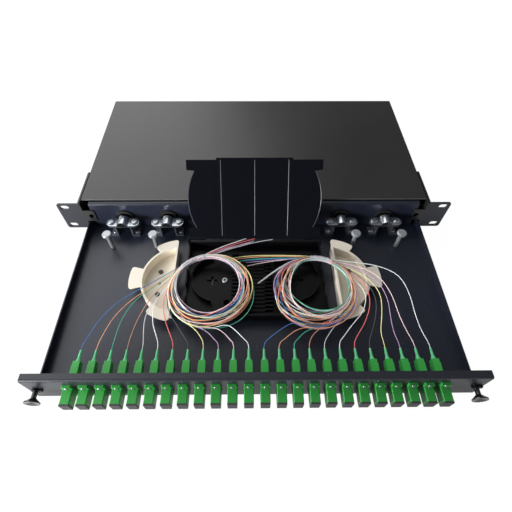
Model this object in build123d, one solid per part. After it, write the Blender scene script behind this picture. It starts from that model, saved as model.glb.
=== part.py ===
from build123d import *
import math
import os

# Sliding fibre patch and splice panel, one rack unit high, drawn out with its tray lid open.
# Millimetres. X to the right, Y towards the rear of the rack, Z up.
# While it is built, Z = 0 is the underside of the housing and Y = 0 is the face of the rack ears
# that lies on the rack's rail. On saving, everything moves down so that the origin is the centre
# of the four rack slots.

# Rack fixing
RACK_WIDTH = 482.6
SLOT_INSET = 8.75
SLOT_SPACING_Z = 31.75
SLOT_LENGTH = 10.5
SLOT_WIDTH = 6.8
EAR_REACH = 27.3
EAR_THICKNESS = 2.0
EAR_HEIGHT = 43.6
EAR_FLANGE_DEPTH = 58.6
EAR_CORNER_RADIUS = 3.0

# Housing
HOUSING_HEIGHT = 44.0
HOUSING_DEPTH = 217.5
SHEET = 1.2
COVER_SETBACK = 7.5
FOLD_RADIUS = 1.0
BASE_FLANGE_HEIGHT = 8.0
REAR_LIP_HEIGHT = 7.0
TAB_WIDTH = 13.2
TAB_BOTTOM = 12.9
TAB_HEIGHT = 19.0
TAB_HOLE_RADIUS = 3.6

# Screws
SMALL_SCREW_RADIUS = 1.5
SMALL_HEAD_RADIUS = 2.8
SMALL_HEAD_HEIGHT = 1.6
SCREW_GAP = 0.05
HOUSING_SCREW_MARGIN = 16.0
HOUSING_SCREW_EAR_GAP = 18.9
EAR_SCREW_MARGIN = 10.0
EAR_SCREW_FRONT = 16.0
EAR_SCREW_DROP = 12.0

# Drawer
TRAVEL = 211.0
DRAWER_SIDE_GAP = 1.9
DRAWER_SIDE_HEIGHT = 10.8
REAR_WALL_INSET = 7.4
REAR_WALL_TOP = 41.8
REAR_FLANGE = 5.0
FRONT_LIP_HEIGHT = 9.0
PANEL_INSET = 2.5
PANEL_BOTTOM = 0.3
PANEL_HEIGHT = 43.4
PANEL_FLANGE = 7.3

# Clearances
SLIDE_GAP = 0.3
STOP_GAP = 0.3
PIVOT_GAP = 0.05

# Adapters and plugs
PORT_COUNT = 24
PORT_MARGIN = 39.0
ADAPTER_WIDTH = 9.0
ADAPTER_HEIGHT = 12.7
ADAPTER_FRONT = 15.0
ADAPTER_REAR = 10.5
ADAPTER_CHAMFER = 0.6
PORT_DEPTH = 9.0
ADAPTER_FLANGE_HEIGHT = 22.2
ADAPTER_FLANGE_THICKNESS = 2.5
ADAPTER_FLANGE_RADIUS = 1.0
ADAPTER_SCREW_SPACING = 17.8
ADAPTER_SCREW_RADIUS = 1.1
ADAPTER_SCREW_HEAD_RADIUS = 1.9
ADAPTER_SCREW_HEAD_HEIGHT = 1.1
CUTOUT_CLEARANCE = 0.2
PLUG_WIDTH = 7.2
PLUG_HEIGHT = 8.8
PLUG_INSERTION = 6.0
PLUG_REACH = 13.4
PLUG_COLLAR_WIDTH = 6.6
PLUG_COLLAR_HEIGHT = 7.9
PLUG_COLLAR_LENGTH = 3.9
PORT_WALL_GAP = 0.1
CAP_WIDTH = 8.7
CAP_HEIGHT = 12.4
CAP_THICKNESS = 1.8
CAP_PLUG_DEPTH = 6.0
BOOT_LENGTH = 12.1
BOOT_BASE = 5.8
BOOT_NECK = 3.0
BOOT_NECK_START = 4.0
BOOT_TIP = 2.2
FIBRE_DIAMETER = 0.9
TAIL_START = 6.0

# Latch plungers
LATCH_INSET = 7.3
LATCH_STROKE = 5.0
PLUNGER_RADIUS = 2.4
PLUNGER_HEAD_RADIUS = 7.3
PLUNGER_REACH = 13.0
PLUNGER_RIM = 1.2
PLUNGER_NECK = 8.0
PLUNGER_DISH = 2.0
GROMMET_BARREL_RADIUS = 3.2
GROMMET_COLLAR_RADIUS = 3.9
GROMMET_COLLAR_THICKNESS = 2.0
GROMMET_TAIL = 6.0
GROMMET_EAR = 2.0
GROMMET_SPLIT = 0.8

# Cable entries and clamps
ENTRY_WALL_GAP = 47.4
ENTRY_SPACING = 55.0
ENTRY_HEIGHT = 20.0
ENTRY_BORE_RADIUS = 7.0
ENTRY_RING_RADIUS = 11.0
ENTRY_HOLE_RADIUS = 9.0
ENTRY_RING_FRONT = 2.0
ENTRY_RING_BACK = 1.5
CLAMP_SETBACK = 12.0
CLAMP_PLATE_TOP = 21.0
CLAMP_WIDTH = 40.0
CLAMP_DEPTH = 12.5
CLAMP_FOOT_DEPTH = 12.0
CLAMP_FOOT_EDGE = 4.0
CLAMP_STEEL = 1.5
CLAMP_LEG_SPACING = 20.0
CLAMP_FOOT_SPACING = 28.0
CLAMP_SCREW_SPACING = 28.5
CLAMP_HUMP_RADIUS = 7.0
CLAMP_SCREW_RADIUS = 2.0
CLAMP_SCREW_LENGTH = 6.0
CLAMP_SCREW_HEAD_RADIUS = 3.9
CLAMP_SCREW_HEAD_HEIGHT = 2.4
BOLT_SETBACK = 35.5
BOLT_OFFSET = 13.2
BOLT_RADIUS = 2.5
BOLT_HEAD_RADIUS = 5.7
BOLT_HEAD_HEIGHT = 3.0
BOLT_TOP = 29.5

# Fibre spools
SPOOL_TRAY_GAP = 13.0
SPOOL_SETBACK = 89.5
SPOOL_RADIUS = 44.5
SPOOL_SAGITTA = 38.0
SPOOL_HEIGHT = 14.3
SPOOL_WALL = 2.2
SPOOL_FLOOR = 2.0
SPOOL_SIDE_TAB_REACH = 13.0
SPOOL_END_TAB_REACH = 9.5
SPOOL_TAB_THICKNESS = 1.6
SPOOL_SIDE_TAB_ANGLE = 30.0
SPOOL_END_TAB_ANGLE = 29.0
SPOOL_HOLE_RADIUS = 2.0
SPOOL_HOLE_PITCH = 15.0
SPOOL_HOLE_X = 19.0

# Splice tray and its lid
TRAY_WIDTH = 158.0
TRAY_LENGTH = 100.0
TRAY_SETBACK = 37.5
TRAY_HEIGHT = 12.0
TRAY_WALL = 1.6
TRAY_FOOT = 2.0
TRAY_CORNER_RADIUS = 8.0
TRAY_SCREW_INSET = 7.4
TRAY_SCREW_HEAD_RADIUS = 3.4
TRAY_NOTCH = 16.0
TRAY_SLOT = 2.5
TRAY_SLOT_LENGTH = 12.0
FOOT_RADIUS = 4.0
WELL_RADIUS = 31.0
WELL_INSET = 36.4
WELL_WALL = 1.6
WELL_HEIGHT = 7.0
WELL_GAP = 14.0
COMB_OFFSET = -4.0
COMB_FRONT_GAP = 2.0
COMB_REAR_GAP = 14.8
COMB_SCREW_GAP = 12.2
COMB_HEIGHT = 7.0
COMB_SLOTS = 16
COMB_RIB = 1.4
COMB_TOOTH = 8.5
COMB_BASE = 1.5
COMB_LOW_RIB = 1.5
COMB_GAP = 3.0
HINGE_HEIGHT = 24.3
HINGE_PIN_RADIUS = 1.2
HINGE_INSET = 2.4
HINGE_EAR_WIDTH = 2.0
HINGE_EAR_RADIUS = 2.4
LID_KNUCKLE_LENGTH = 18.0
LID_KNUCKLE_RADIUS = 1.5
LID_SIDE_GAP = 1.5
LID_BOW = 8.3
LID_LENGTH = 94.5
LID_FOOT = 13.0
LID_SHOULDER = 80.0
LID_CROWN_INSET = 34.0
LID_CROWN = 2.2
LID_THICKNESS = 0.8
LID_RIB = 1.0
LID_OPEN_ANGLE = 126.0

# Fibre coils: the centre and radius of the outer edge, then of the hole, and the sleeve's angles
COIL_THICKNESS = 6.0
COIL_EDGE_BEVEL = 1.5
SLEEVE_WALL = 0.4
SLEEVE_GAP = 0.1
COILS = {
    "left": {"outer": (-50.1, -107.1, 48.4), "hole": (-51.7, -101.9, 34.0), "sleeve": (104, 136)},
    "right": {"outer": (65.0, -110.1, 47.4), "hole": (71.7, -102.7, 32.0), "sleeve": (62, 90)},
}

# Fibre tails: where each goes on its way from its boot into its coil, left to right
TAILS = [
    [(-168.5, -162), (-162.5, -145), (-149, -125), (-129.5, -110), (-109.5, -96.5), (-91, -83)],
    [(-154.5, -160.5), (-148.5, -141.5), (-132.5, -120), (-112, -104), (-93, -87)],
    [(-141.5, -161.5), (-139.5, -144), (-130, -122), (-112.5, -105.5), (-95, -92)],
    [(-126, -160), (-122, -141), (-112, -116), (-96, -97)],
    [(-114, -161), (-116, -143.5), (-110.5, -120), (-97, -102)],
    [(-101, -162.5), (-107.5, -147), (-109, -124), (-97, -107)],
    [(-86, -163.5), (-93, -149), (-99.5, -128.5), (-97, -110)],
    [(-72.5, -164.5), (-80.5, -152.5), (-92, -136), (-96, -118)],
    [(-55, -165.5), (-61.5, -156.5), (-70, -150)],
    [(-42, -167), (-49, -159), (-58, -154)],
    [(-26.5, -167), (-33.5, -159), (-42, -154)],
    [(-12.5, -166.5), (-21, -157), (-30, -150)],
    [(14, -165), (26.5, -155.5), (39, -148)],
    [(28.5, -167), (38.5, -158.5), (50, -154)],
    [(41.5, -167.5), (48.5, -160), (57, -156)],
    [(57.5, -162.5), (65, -156)],
    [(73.5, -162.5), (80, -154)],
    [(89, -164), (99.5, -151.5), (115, -135.5), (121, -114), (110, -97)],
    [(103, -163), (113.5, -149), (123.5, -127), (122.5, -103), (107, -88)],
    [(117, -161.5), (125, -144.5), (131, -119.5), (121.5, -96.5), (103, -82)],
    [(126.5, -160), (132.5, -140.5), (137, -113.5), (122.5, -91), (100, -79)],
    [(140, -161.5), (140.5, -144), (143, -120.5), (136, -98), (117.5, -83.5), (97, -76)],
    [(154, -161), (150, -142.5), (148.5, -116.5), (139.5, -92.5), (117.5, -79), (94, -74)],
    [(169, -161), (167, -142), (168, -116), (162.5, -91), (140.5, -78.5), (114.5, -74), (91, -71)],
]

# Loose fibre ends, which lie free beside the coils
LOOSE_ENDS = {
    "free_end_white": [(-57, -60), (-46, -54), (-26.5, -44.8), (-7, -36.8)],
    "free_end_red": [(-55, -60.5), (-44.5, -55.5), (-23, -46.8), (-1, -39.8)],
    "crossing_end_yellow": [(60, -63.7), (49, -63.2), (29, -63.4), (5, -64.4), (-18, -66.2)],
    "crossing_end_violet": [(46, -68.8), (36, -69.6), (16, -72.4), (-3, -76.5)],
    "loose_end_white": [(37, -72.5), (28.5, -78.5), (14, -90), (1, -102)],
}

# Places that follow from the sizes
HOUSING_WIDTH = RACK_WIDTH - 2 * EAR_REACH
SLOT_SPACING_X = RACK_WIDTH - 2 * SLOT_INSET
DRAWER_WIDTH = HOUSING_WIDTH - 2 * SHEET - 2 * DRAWER_SIDE_GAP
REAR_WALL_WIDTH = DRAWER_WIDTH - 2 * REAR_WALL_INSET
PANEL_WIDTH = HOUSING_WIDTH - 2 * PANEL_INSET
PORT_PITCH = (PANEL_WIDTH - 2 * PORT_MARGIN) / (PORT_COUNT - 1)
LATCH_X = PANEL_WIDTH / 2 - LATCH_INSET
SPOOL_FLAT_X = TRAY_WIDTH / 2 + SPOOL_TRAY_GAP
WELL_X = TRAY_WIDTH / 2 - WELL_INSET
LID_WIDTH = TRAY_WIDTH - 2 * LID_SIDE_GAP
FRONT = -EAR_THICKNESS
REAR = FRONT + HOUSING_DEPTH
COVER_FRONT = FRONT + COVER_SETBACK
ORIGIN_HEIGHT = HOUSING_HEIGHT / 2
SIDE_OUT = HOUSING_WIDTH / 2
SIDE_IN = SIDE_OUT - SHEET
FLOOR_BOTTOM = SHEET + SLIDE_GAP
FLOOR_TOP = FLOOR_BOTTOM + SHEET
WALL_FRONT = FRONT + SHEET + STOP_GAP
PANEL_BACK = FRONT - STOP_GAP - TRAVEL
PANEL_FRONT = PANEL_BACK - SHEET
ADAPTER_TIP = PANEL_FRONT - ADAPTER_FRONT
ADAPTER_END = PANEL_BACK + ADAPTER_REAR
PLUG_END = ADAPTER_END + PLUG_REACH
BOOT_END = PLUG_END + BOOT_LENGTH
TRAY_REAR = WALL_FRONT - TRAY_SETBACK
TRAY_FRONT = TRAY_REAR - TRAY_LENGTH
TRAY_FLOOR = FLOOR_TOP + TRAY_FOOT
TRAY_TOP = TRAY_FLOOR + TRAY_HEIGHT
HINGE_Y = TRAY_REAR - HINGE_INSET
COIL_BOTTOM = TRAY_TOP + SLEEVE_WALL + 2 * SLEEVE_GAP
COIL_TOP = COIL_BOTTOM + COIL_THICKNESS
ENTRY_OUTER_X = DRAWER_WIDTH / 2 - ENTRY_WALL_GAP
ENTRY_INNER_X = ENTRY_OUTER_X - ENTRY_SPACING
ENTRIES = (-ENTRY_OUTER_X, -ENTRY_INNER_X, ENTRY_INNER_X, ENTRY_OUTER_X)
PORTS = [(n - (PORT_COUNT - 1) / 2) * PORT_PITCH for n in range(PORT_COUNT)]
EAR_END = FRONT + EAR_FLANGE_DEPTH
HOUSING_SCREW_ENDS = (EAR_END + HOUSING_SCREW_EAR_GAP, REAR - HOUSING_SCREW_MARGIN)
HOUSING_SCREW_Y = (HOUSING_SCREW_ENDS[0], sum(HOUSING_SCREW_ENDS) / 2, HOUSING_SCREW_ENDS[1])
HOUSING_SCREW_Z = SHEET + BASE_FLANGE_HEIGHT / 2
EAR_SCREW_Y = (FRONT + EAR_SCREW_FRONT, EAR_END - EAR_SCREW_MARGIN)
EAR_SCREW_Z = (HOUSING_SCREW_Z, HOUSING_HEIGHT - EAR_SCREW_DROP)
CLAMP_Y = WALL_FRONT - CLAMP_SETBACK
BOLT_Y = WALL_FRONT - BOLT_SETBACK
BOLT_X = [x + math.copysign(BOLT_OFFSET, x) for x in ENTRIES]
SPOOL_Y = WALL_FRONT - SPOOL_SETBACK
SPOOL_CENTRE_X = SPOOL_FLAT_X + SPOOL_SAGITTA - SPOOL_RADIUS
SPOOL_SCREW_X = SPOOL_FLAT_X + SPOOL_HOLE_X
TRAY_MIDDLE = (TRAY_FRONT + TRAY_REAR) / 2
TRAY_SCREWS = [(side * (WELL_X - TRAY_SCREW_INSET), TRAY_MIDDLE) for side in (-1, 1)]
COMB_FRONT = TRAY_FRONT + TRAY_WALL + COMB_FRONT_GAP
COMB_LENGTH = TRAY_REAR - TRAY_WALL - COMB_REAR_GAP - COMB_FRONT
COMB_WIDTH = 2 * (WELL_X - TRAY_SCREW_INSET - COMB_SCREW_GAP)


def block(x0, x1, y0, y1, z0, z1):
    """A box given by its faces."""
    return Pos((x0 + x1) / 2, (y0 + y1) / 2, (z0 + z1) / 2) * Box(x1 - x0, y1 - y0, z1 - z0)


def centred_block(x, z, width, height, y0, y1):
    """A box centred on x and z that runs from y0 to y1."""
    return block(x - width / 2, x + width / 2, y0, y1, z - height / 2, z + height / 2)


def rod_y(x, z, radius, y0, y1):
    """A round bar along Y."""
    return Pos(x, (y0 + y1) / 2, z) * Rot(90, 0, 0) * Cylinder(radius, y1 - y0)


def rod_x(y, z, radius, x0, x1):
    """A round bar along X."""
    return Pos((x0 + x1) / 2, y, z) * Rot(0, 90, 0) * Cylinder(radius, x1 - x0)


def rod_z(x, y, radius, z0, z1):
    """A round bar along Z."""
    return Pos(x, y, (z0 + z1) / 2) * Cylinder(radius, z1 - z0)


def save(name, *pieces):
    """Write one node, moved so that the centre of the rack slots is the origin."""
    solids = [Pos(0, 0, -ORIGIN_HEIGHT) * solid for piece in pieces for solid in piece.solids()]
    shape = solids[0] if len(solids) == 1 else Compound(children=solids)
    export_step(shape, f"parts/{name}.step")


def screw(x, y, z, direction, shank_radius, shank_length, head_radius, head_height):
    """A pan-head screw. Its head's underside is at x, y, z and its shank points along direction."""
    shank = Pos(0, 0, shank_length / 2) * Cylinder(shank_radius, shank_length)
    head = Pos(0, 0, -head_height / 2) * Cylinder(head_radius, head_height)
    head = chamfer(head.edges().group_by(Axis.Z)[0], head_height * 0.35)
    return Plane(origin=(x, y, z), z_dir=direction) * (shank + head)


def side_screw(side, y, z, seat):
    """A screw through the housing's side wall into the base plate's flange."""
    length = seat - SIDE_IN + SHEET
    return screw(side * seat, y, z, (-side, 0, 0), SMALL_SCREW_RADIUS, length, SMALL_HEAD_RADIUS,
                 SMALL_HEAD_HEIGHT)


def side_holes(side, ys, zs):
    """The drillings for side screws, through the side wall, the base flange and the rack ear."""
    near, far = sorted((side * (SIDE_IN - 2 * SHEET), side * (SIDE_OUT + 2 * EAR_THICKNESS)))
    return [rod_x(y, z, SMALL_SCREW_RADIUS + SCREW_GAP, near, far) for y in ys for z in zs]


def all_side_holes():
    return [hole for side in (-1, 1)
            for hole in side_holes(side, HOUSING_SCREW_Y, (HOUSING_SCREW_Z,))
            + side_holes(side, EAR_SCREW_Y, EAR_SCREW_Z)]


def housing_shell():
    """Top and sides in one folded sheet, with a latch tab bent in at the front of each side."""
    skin = block(-SIDE_OUT, SIDE_OUT, FRONT, REAR, 0, HOUSING_HEIGHT)
    skin = fillet(skin.edges().filter_by(Axis.Y).group_by(Axis.Z)[-1], FOLD_RADIUS + SHEET)
    hollow = block(-SIDE_IN, SIDE_IN, FRONT - 1, REAR + 1, -1, HOUSING_HEIGHT - SHEET)
    hollow = fillet(hollow.edges().filter_by(Axis.Y).group_by(Axis.Z)[-1], FOLD_RADIUS)
    setback = block(-SIDE_IN, SIDE_IN, FRONT - 1, COVER_FRONT, 0, HOUSING_HEIGHT + 1)
    return skin - hollow - setback + latch_tab(1) + latch_tab(-1) - all_side_holes()


def latch_tab(side):
    """The tab that catches the plunger and stops the drawer. It is part of the housing shell."""
    inner, outer = sorted((side * (SIDE_IN - TAB_WIDTH), side * SIDE_IN))
    tab = block(inner, outer, FRONT, FRONT + SHEET, TAB_BOTTOM, TAB_BOTTOM + TAB_HEIGHT)
    free = tab.edges().filter_by(Axis.Y).sort_by(Axis.X)
    corners = free[:2] if side > 0 else free[-2:]
    tab = fillet(corners, EAR_CORNER_RADIUS)
    return tab - rod_y(side * LATCH_X, ORIGIN_HEIGHT, TAB_HOLE_RADIUS, FRONT - 1, FRONT + 2 * SHEET)


def base_plate():
    """The floor of the housing, with a flange up each side and a lip along the rear."""
    floor = block(-SIDE_IN, SIDE_IN, FRONT, REAR, 0, SHEET)
    inner = SIDE_IN - SHEET
    left = block(-SIDE_IN, -inner, FRONT + SHEET, REAR, SHEET, SHEET + BASE_FLANGE_HEIGHT)
    right = block(inner, SIDE_IN, FRONT + SHEET, REAR, SHEET, SHEET + BASE_FLANGE_HEIGHT)
    lip = block(-inner, inner, REAR - SHEET, REAR, SHEET, SHEET + REAR_LIP_HEIGHT)
    return floor + left + right + lip - all_side_holes()


def housing_screws():
    return [side_screw(side, y, HOUSING_SCREW_Z, SIDE_OUT) for side in (-1, 1) for y in HOUSING_SCREW_Y]


def rack_ear(side):
    """An angle bracket: a flange along the housing's side and an ear with two rack slots."""
    low = ORIGIN_HEIGHT - EAR_HEIGHT / 2
    outline = block(SIDE_OUT, RACK_WIDTH / 2, FRONT, 0, low, low + EAR_HEIGHT)
    outer = outline.edges().filter_by(Axis.Y).group_by(Axis.X)[-1]
    ear = fillet(outer, EAR_CORNER_RADIUS)
    flange = block(SIDE_OUT, SIDE_OUT + EAR_THICKNESS, FRONT, FRONT + EAR_FLANGE_DEPTH, low, low + EAR_HEIGHT)
    flange = fillet(flange.edges().filter_by(Axis.X).group_by(Axis.Y)[-1], EAR_CORNER_RADIUS)
    bracket = ear + flange
    for height in (-SLOT_SPACING_Z / 2, SLOT_SPACING_Z / 2):
        slot = Plane.XZ * SlotOverall(SLOT_LENGTH, SLOT_WIDTH)
        cut = extrude(slot, 2 * EAR_THICKNESS, both=True)
        bracket -= Pos(SLOT_SPACING_X / 2, 0, ORIGIN_HEIGHT + height) * cut
    if side < 0:
        bracket = mirror(bracket, Plane.YZ)
    return bracket - side_holes(side, EAR_SCREW_Y, EAR_SCREW_Z)


def ear_screws():
    """The screws of both rack ears. The lower ones also hold the base plate's flange."""
    screws = []
    for side in (-1, 1):
        for y in EAR_SCREW_Y:
            screws.append(side_screw(side, y, EAR_SCREW_Z[0], SIDE_OUT + EAR_THICKNESS))
            top = screw(side * (SIDE_OUT + EAR_THICKNESS), y, EAR_SCREW_Z[1], (-side, 0, 0),
                        SMALL_SCREW_RADIUS, EAR_THICKNESS + SHEET, SMALL_HEAD_RADIUS, SMALL_HEAD_HEIGHT)
            screws.append(top)
    return screws


def floor_fixings():
    """Where screws and bolts go into the drawer's floor, with each one's shank radius."""
    feet = [(x + side * CLAMP_FOOT_SPACING / 2, CLAMP_Y, SMALL_SCREW_RADIUS)
            for x in ENTRIES for side in (-1, 1)]
    bolts = [(x, BOLT_Y, BOLT_RADIUS) for x in BOLT_X]
    spools = [(side * SPOOL_SCREW_X, SPOOL_Y + step * SPOOL_HOLE_PITCH, SMALL_SCREW_RADIUS)
              for side in (-1, 1) for step in (-1, 1)]
    trays = [(x, y, SMALL_SCREW_RADIUS) for x, y in TRAY_SCREWS]
    return feet + bolts + spools + trays


def drawer_tray():
    """Floor, low sides, rear wall with a bent-back flange, and the lip behind the front panel."""
    half, rear = DRAWER_WIDTH / 2, WALL_FRONT + SHEET
    floor = block(-half, half, PANEL_BACK, rear, FLOOR_BOTTOM, FLOOR_TOP)
    side_top = FLOOR_BOTTOM + DRAWER_SIDE_HEIGHT
    left = block(-half, -half + SHEET, PANEL_BACK, rear, FLOOR_TOP, side_top)
    right = block(half - SHEET, half, PANEL_BACK, rear, FLOOR_TOP, side_top)
    lip = block(-half, half, PANEL_BACK, PANEL_BACK + SHEET, FLOOR_TOP, FLOOR_BOTTOM + FRONT_LIP_HEIGHT)
    outer = block(-REAR_WALL_WIDTH / 2, REAR_WALL_WIDTH / 2, WALL_FRONT, WALL_FRONT + REAR_FLANGE,
                  FLOOR_TOP, REAR_WALL_TOP)
    fold = outer.edges().filter_by(Axis.X).group_by(Axis.Z)[-1].sort_by(Axis.Y)[0]
    outer = fillet(fold, FOLD_RADIUS + SHEET)
    under = block(-REAR_WALL_WIDTH, REAR_WALL_WIDTH, rear, rear + 2 * REAR_FLANGE, -1, REAR_WALL_TOP - SHEET)
    fold = under.edges().filter_by(Axis.X).group_by(Axis.Z)[-1].sort_by(Axis.Y)[0]
    under = fillet(fold, FOLD_RADIUS)
    wall = outer - under
    wall -= [rod_y(x, ENTRY_HEIGHT, ENTRY_HOLE_RADIUS, WALL_FRONT - 1, rear + 1) for x in ENTRIES]
    holes = [rod_z(x, y, r + SCREW_GAP, FLOOR_BOTTOM - 1, FLOOR_TOP + 1) for x, y, r in floor_fixings()]
    return floor + left + right + lip + wall - holes


def front_panel():
    """The face with the ports' cut-outs, and the flange bent back along its top."""
    half, top = PANEL_WIDTH / 2, PANEL_BOTTOM + PANEL_HEIGHT
    outer = block(-half, half, PANEL_FRONT, PANEL_FRONT + PANEL_FLANGE, PANEL_BOTTOM, top)
    fold = outer.edges().filter_by(Axis.X).group_by(Axis.Z)[-1].sort_by(Axis.Y)[0]
    outer = fillet(fold, FOLD_RADIUS + SHEET)
    under = block(-PANEL_WIDTH, PANEL_WIDTH, PANEL_BACK, PANEL_BACK + 2 * PANEL_FLANGE, -1, top - SHEET)
    fold = under.edges().filter_by(Axis.X).group_by(Axis.Z)[-1].sort_by(Axis.Y)[0]
    panel = outer - fillet(fold, FOLD_RADIUS)
    y0, y1 = PANEL_FRONT - 1, PANEL_BACK + 1
    cutouts = [centred_block(x, ORIGIN_HEIGHT, ADAPTER_WIDTH + 2 * CUTOUT_CLEARANCE,
                             ADAPTER_HEIGHT + 2 * CUTOUT_CLEARANCE, y0, y1) for x in PORTS]
    latch_holes = [rod_y(side * LATCH_X, ORIGIN_HEIGHT, GROMMET_BARREL_RADIUS + SCREW_GAP, y0, y1)
                   for side in (-1, 1)]
    screw_holes = [rod_y(x, z, ADAPTER_SCREW_RADIUS + SCREW_GAP, y0, y1)
                   for x in PORTS for z in adapter_screw_heights()]
    return panel - cutouts - latch_holes - screw_holes


def adapter_screw_heights():
    return [ORIGIN_HEIGHT + end * ADAPTER_SCREW_SPACING / 2 for end in (-1, 1)]


def adapter(x):
    """One adapter: an upright flange on the panel's face, and a body through it with a port at each end."""
    z, flange_front = ORIGIN_HEIGHT, PANEL_FRONT - ADAPTER_FLANGE_THICKNESS
    body = centred_block(x, z, ADAPTER_WIDTH, ADAPTER_HEIGHT, ADAPTER_TIP, ADAPTER_END)
    body = chamfer(body.edges().filter_by(Axis.Y).group_by(Axis.Z)[-1], ADAPTER_CHAMFER)
    flange = centred_block(x, z, ADAPTER_WIDTH, ADAPTER_FLANGE_HEIGHT, flange_front, PANEL_FRONT)
    body += fillet(flange.edges().filter_by(Axis.Y), ADAPTER_FLANGE_RADIUS)
    port_width, port_height = PLUG_WIDTH + 2 * PORT_WALL_GAP, PLUG_HEIGHT + 2 * PORT_WALL_GAP
    body -= centred_block(x, z, port_width, port_height, ADAPTER_TIP - 1, ADAPTER_TIP + PORT_DEPTH)
    body -= centred_block(x, z, port_width, port_height, ADAPTER_END - PORT_DEPTH, ADAPTER_END + 1)
    return body - [rod_y(x, height, ADAPTER_SCREW_RADIUS + SCREW_GAP, flange_front - 1, PANEL_FRONT + 1)
                   for height in adapter_screw_heights()]


def adapter_screws(x):
    """The two small screws that hold one adapter's flange to the panel."""
    seat = PANEL_FRONT - ADAPTER_FLANGE_THICKNESS
    return [screw(x, seat, height, (0, 1, 0), ADAPTER_SCREW_RADIUS, ADAPTER_FLANGE_THICKNESS + SHEET,
                  ADAPTER_SCREW_HEAD_RADIUS, ADAPTER_SCREW_HEAD_HEIGHT) for height in adapter_screw_heights()]


def dust_cap(x):
    """A cap: a plate over the adapter's end, on a plug that fills the port."""
    plate = centred_block(x, ORIGIN_HEIGHT, CAP_WIDTH, CAP_HEIGHT, ADAPTER_TIP - CAP_THICKNESS, ADAPTER_TIP)
    plug = centred_block(x, ORIGIN_HEIGHT, PLUG_WIDTH, PLUG_HEIGHT, ADAPTER_TIP, ADAPTER_TIP + CAP_PLUG_DEPTH)
    return plate + plug


def connector_body(x):
    """A plug: its outer sleeve in the adapter's inner port, and the smaller collar behind it."""
    shoulder = PLUG_END - PLUG_COLLAR_LENGTH
    sleeve = centred_block(x, ORIGIN_HEIGHT, PLUG_WIDTH, PLUG_HEIGHT, ADAPTER_END - PLUG_INSERTION, shoulder)
    collar = centred_block(x, ORIGIN_HEIGHT, PLUG_COLLAR_WIDTH, PLUG_COLLAR_HEIGHT, shoulder, PLUG_END)
    return sleeve + collar


def boot(x):
    """The boot behind a plug: a flared foot and a slim taper."""
    profile = Polyline((0, 0), (BOOT_BASE / 2, 0), (BOOT_NECK / 2, BOOT_NECK_START),
                       (BOOT_TIP / 2, BOOT_LENGTH), (0, BOOT_LENGTH), close=True)
    return Pos(x, PLUG_END, ORIGIN_HEIGHT) * revolve(make_face(profile), Axis.Y)


def latch_grommet(side):
    """The collar on the panel's face and the split barrel that the plunger spreads."""
    x, z = side * LATCH_X, ORIGIN_HEIGHT
    collar_front, tail = PANEL_FRONT - GROMMET_COLLAR_THICKNESS, PANEL_BACK + GROMMET_TAIL
    body = rod_y(x, z, GROMMET_COLLAR_RADIUS, collar_front, PANEL_FRONT)
    body += rod_y(x, z, GROMMET_BARREL_RADIUS, PANEL_FRONT, tail)
    ear = GROMMET_COLLAR_RADIUS + GROMMET_EAR
    body += block(x, x + ear, collar_front, PANEL_FRONT, z - GROMMET_EAR, z + GROMMET_EAR)
    body -= rod_y(x, z, PLUNGER_RADIUS + PIVOT_GAP, collar_front - 1, tail + 1)
    split = GROMMET_SPLIT / 2
    return body - block(x - split, x + split, PANEL_BACK + SHEET, tail + 1, z - ENTRY_RING_RADIUS,
                        z + ENTRY_RING_RADIUS)


def latch_plunger(side):
    """The knob: a dished head that flares from a slim stem, which runs in the grommet."""
    tip = GROMMET_TAIL + SHEET - LATCH_STROKE
    rim = PLUNGER_REACH - PLUNGER_RIM
    profile = Polyline((0, tip), (PLUNGER_RADIUS, tip), (PLUNGER_RADIUS, -PLUNGER_NECK),
                       (PLUNGER_HEAD_RADIUS, -rim), (PLUNGER_HEAD_RADIUS, -PLUNGER_REACH),
                       (PLUNGER_HEAD_RADIUS - PLUNGER_RIM, -PLUNGER_REACH),
                       (0, -PLUNGER_REACH + PLUNGER_DISH), close=True)
    knob = revolve(make_face(profile), Axis.Y)
    return Pos(side * LATCH_X, PANEL_FRONT, ORIGIN_HEIGHT) * knob


def cable_grommet(x):
    """A rubber ring with a groove for the rear wall's edge."""
    front, back = WALL_FRONT - ENTRY_RING_FRONT, WALL_FRONT + SHEET + ENTRY_RING_BACK
    ring = rod_y(x, ENTRY_HEIGHT, ENTRY_RING_RADIUS, front, WALL_FRONT)
    ring += rod_y(x, ENTRY_HEIGHT, ENTRY_HOLE_RADIUS, WALL_FRONT, WALL_FRONT + SHEET)
    ring += rod_y(x, ENTRY_HEIGHT, ENTRY_RING_RADIUS, WALL_FRONT + SHEET, back)
    return ring - rod_y(x, ENTRY_HEIGHT, ENTRY_BORE_RADIUS, front - 1, back + 1)


def clamp_outline(x, z0, z1):
    """The rounded plan of a clamp plate, as a slab."""
    slab = extrude(SlotOverall(CLAMP_WIDTH, CLAMP_DEPTH), z1 - z0)
    return Pos(x, CLAMP_Y, z0) * slab


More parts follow.
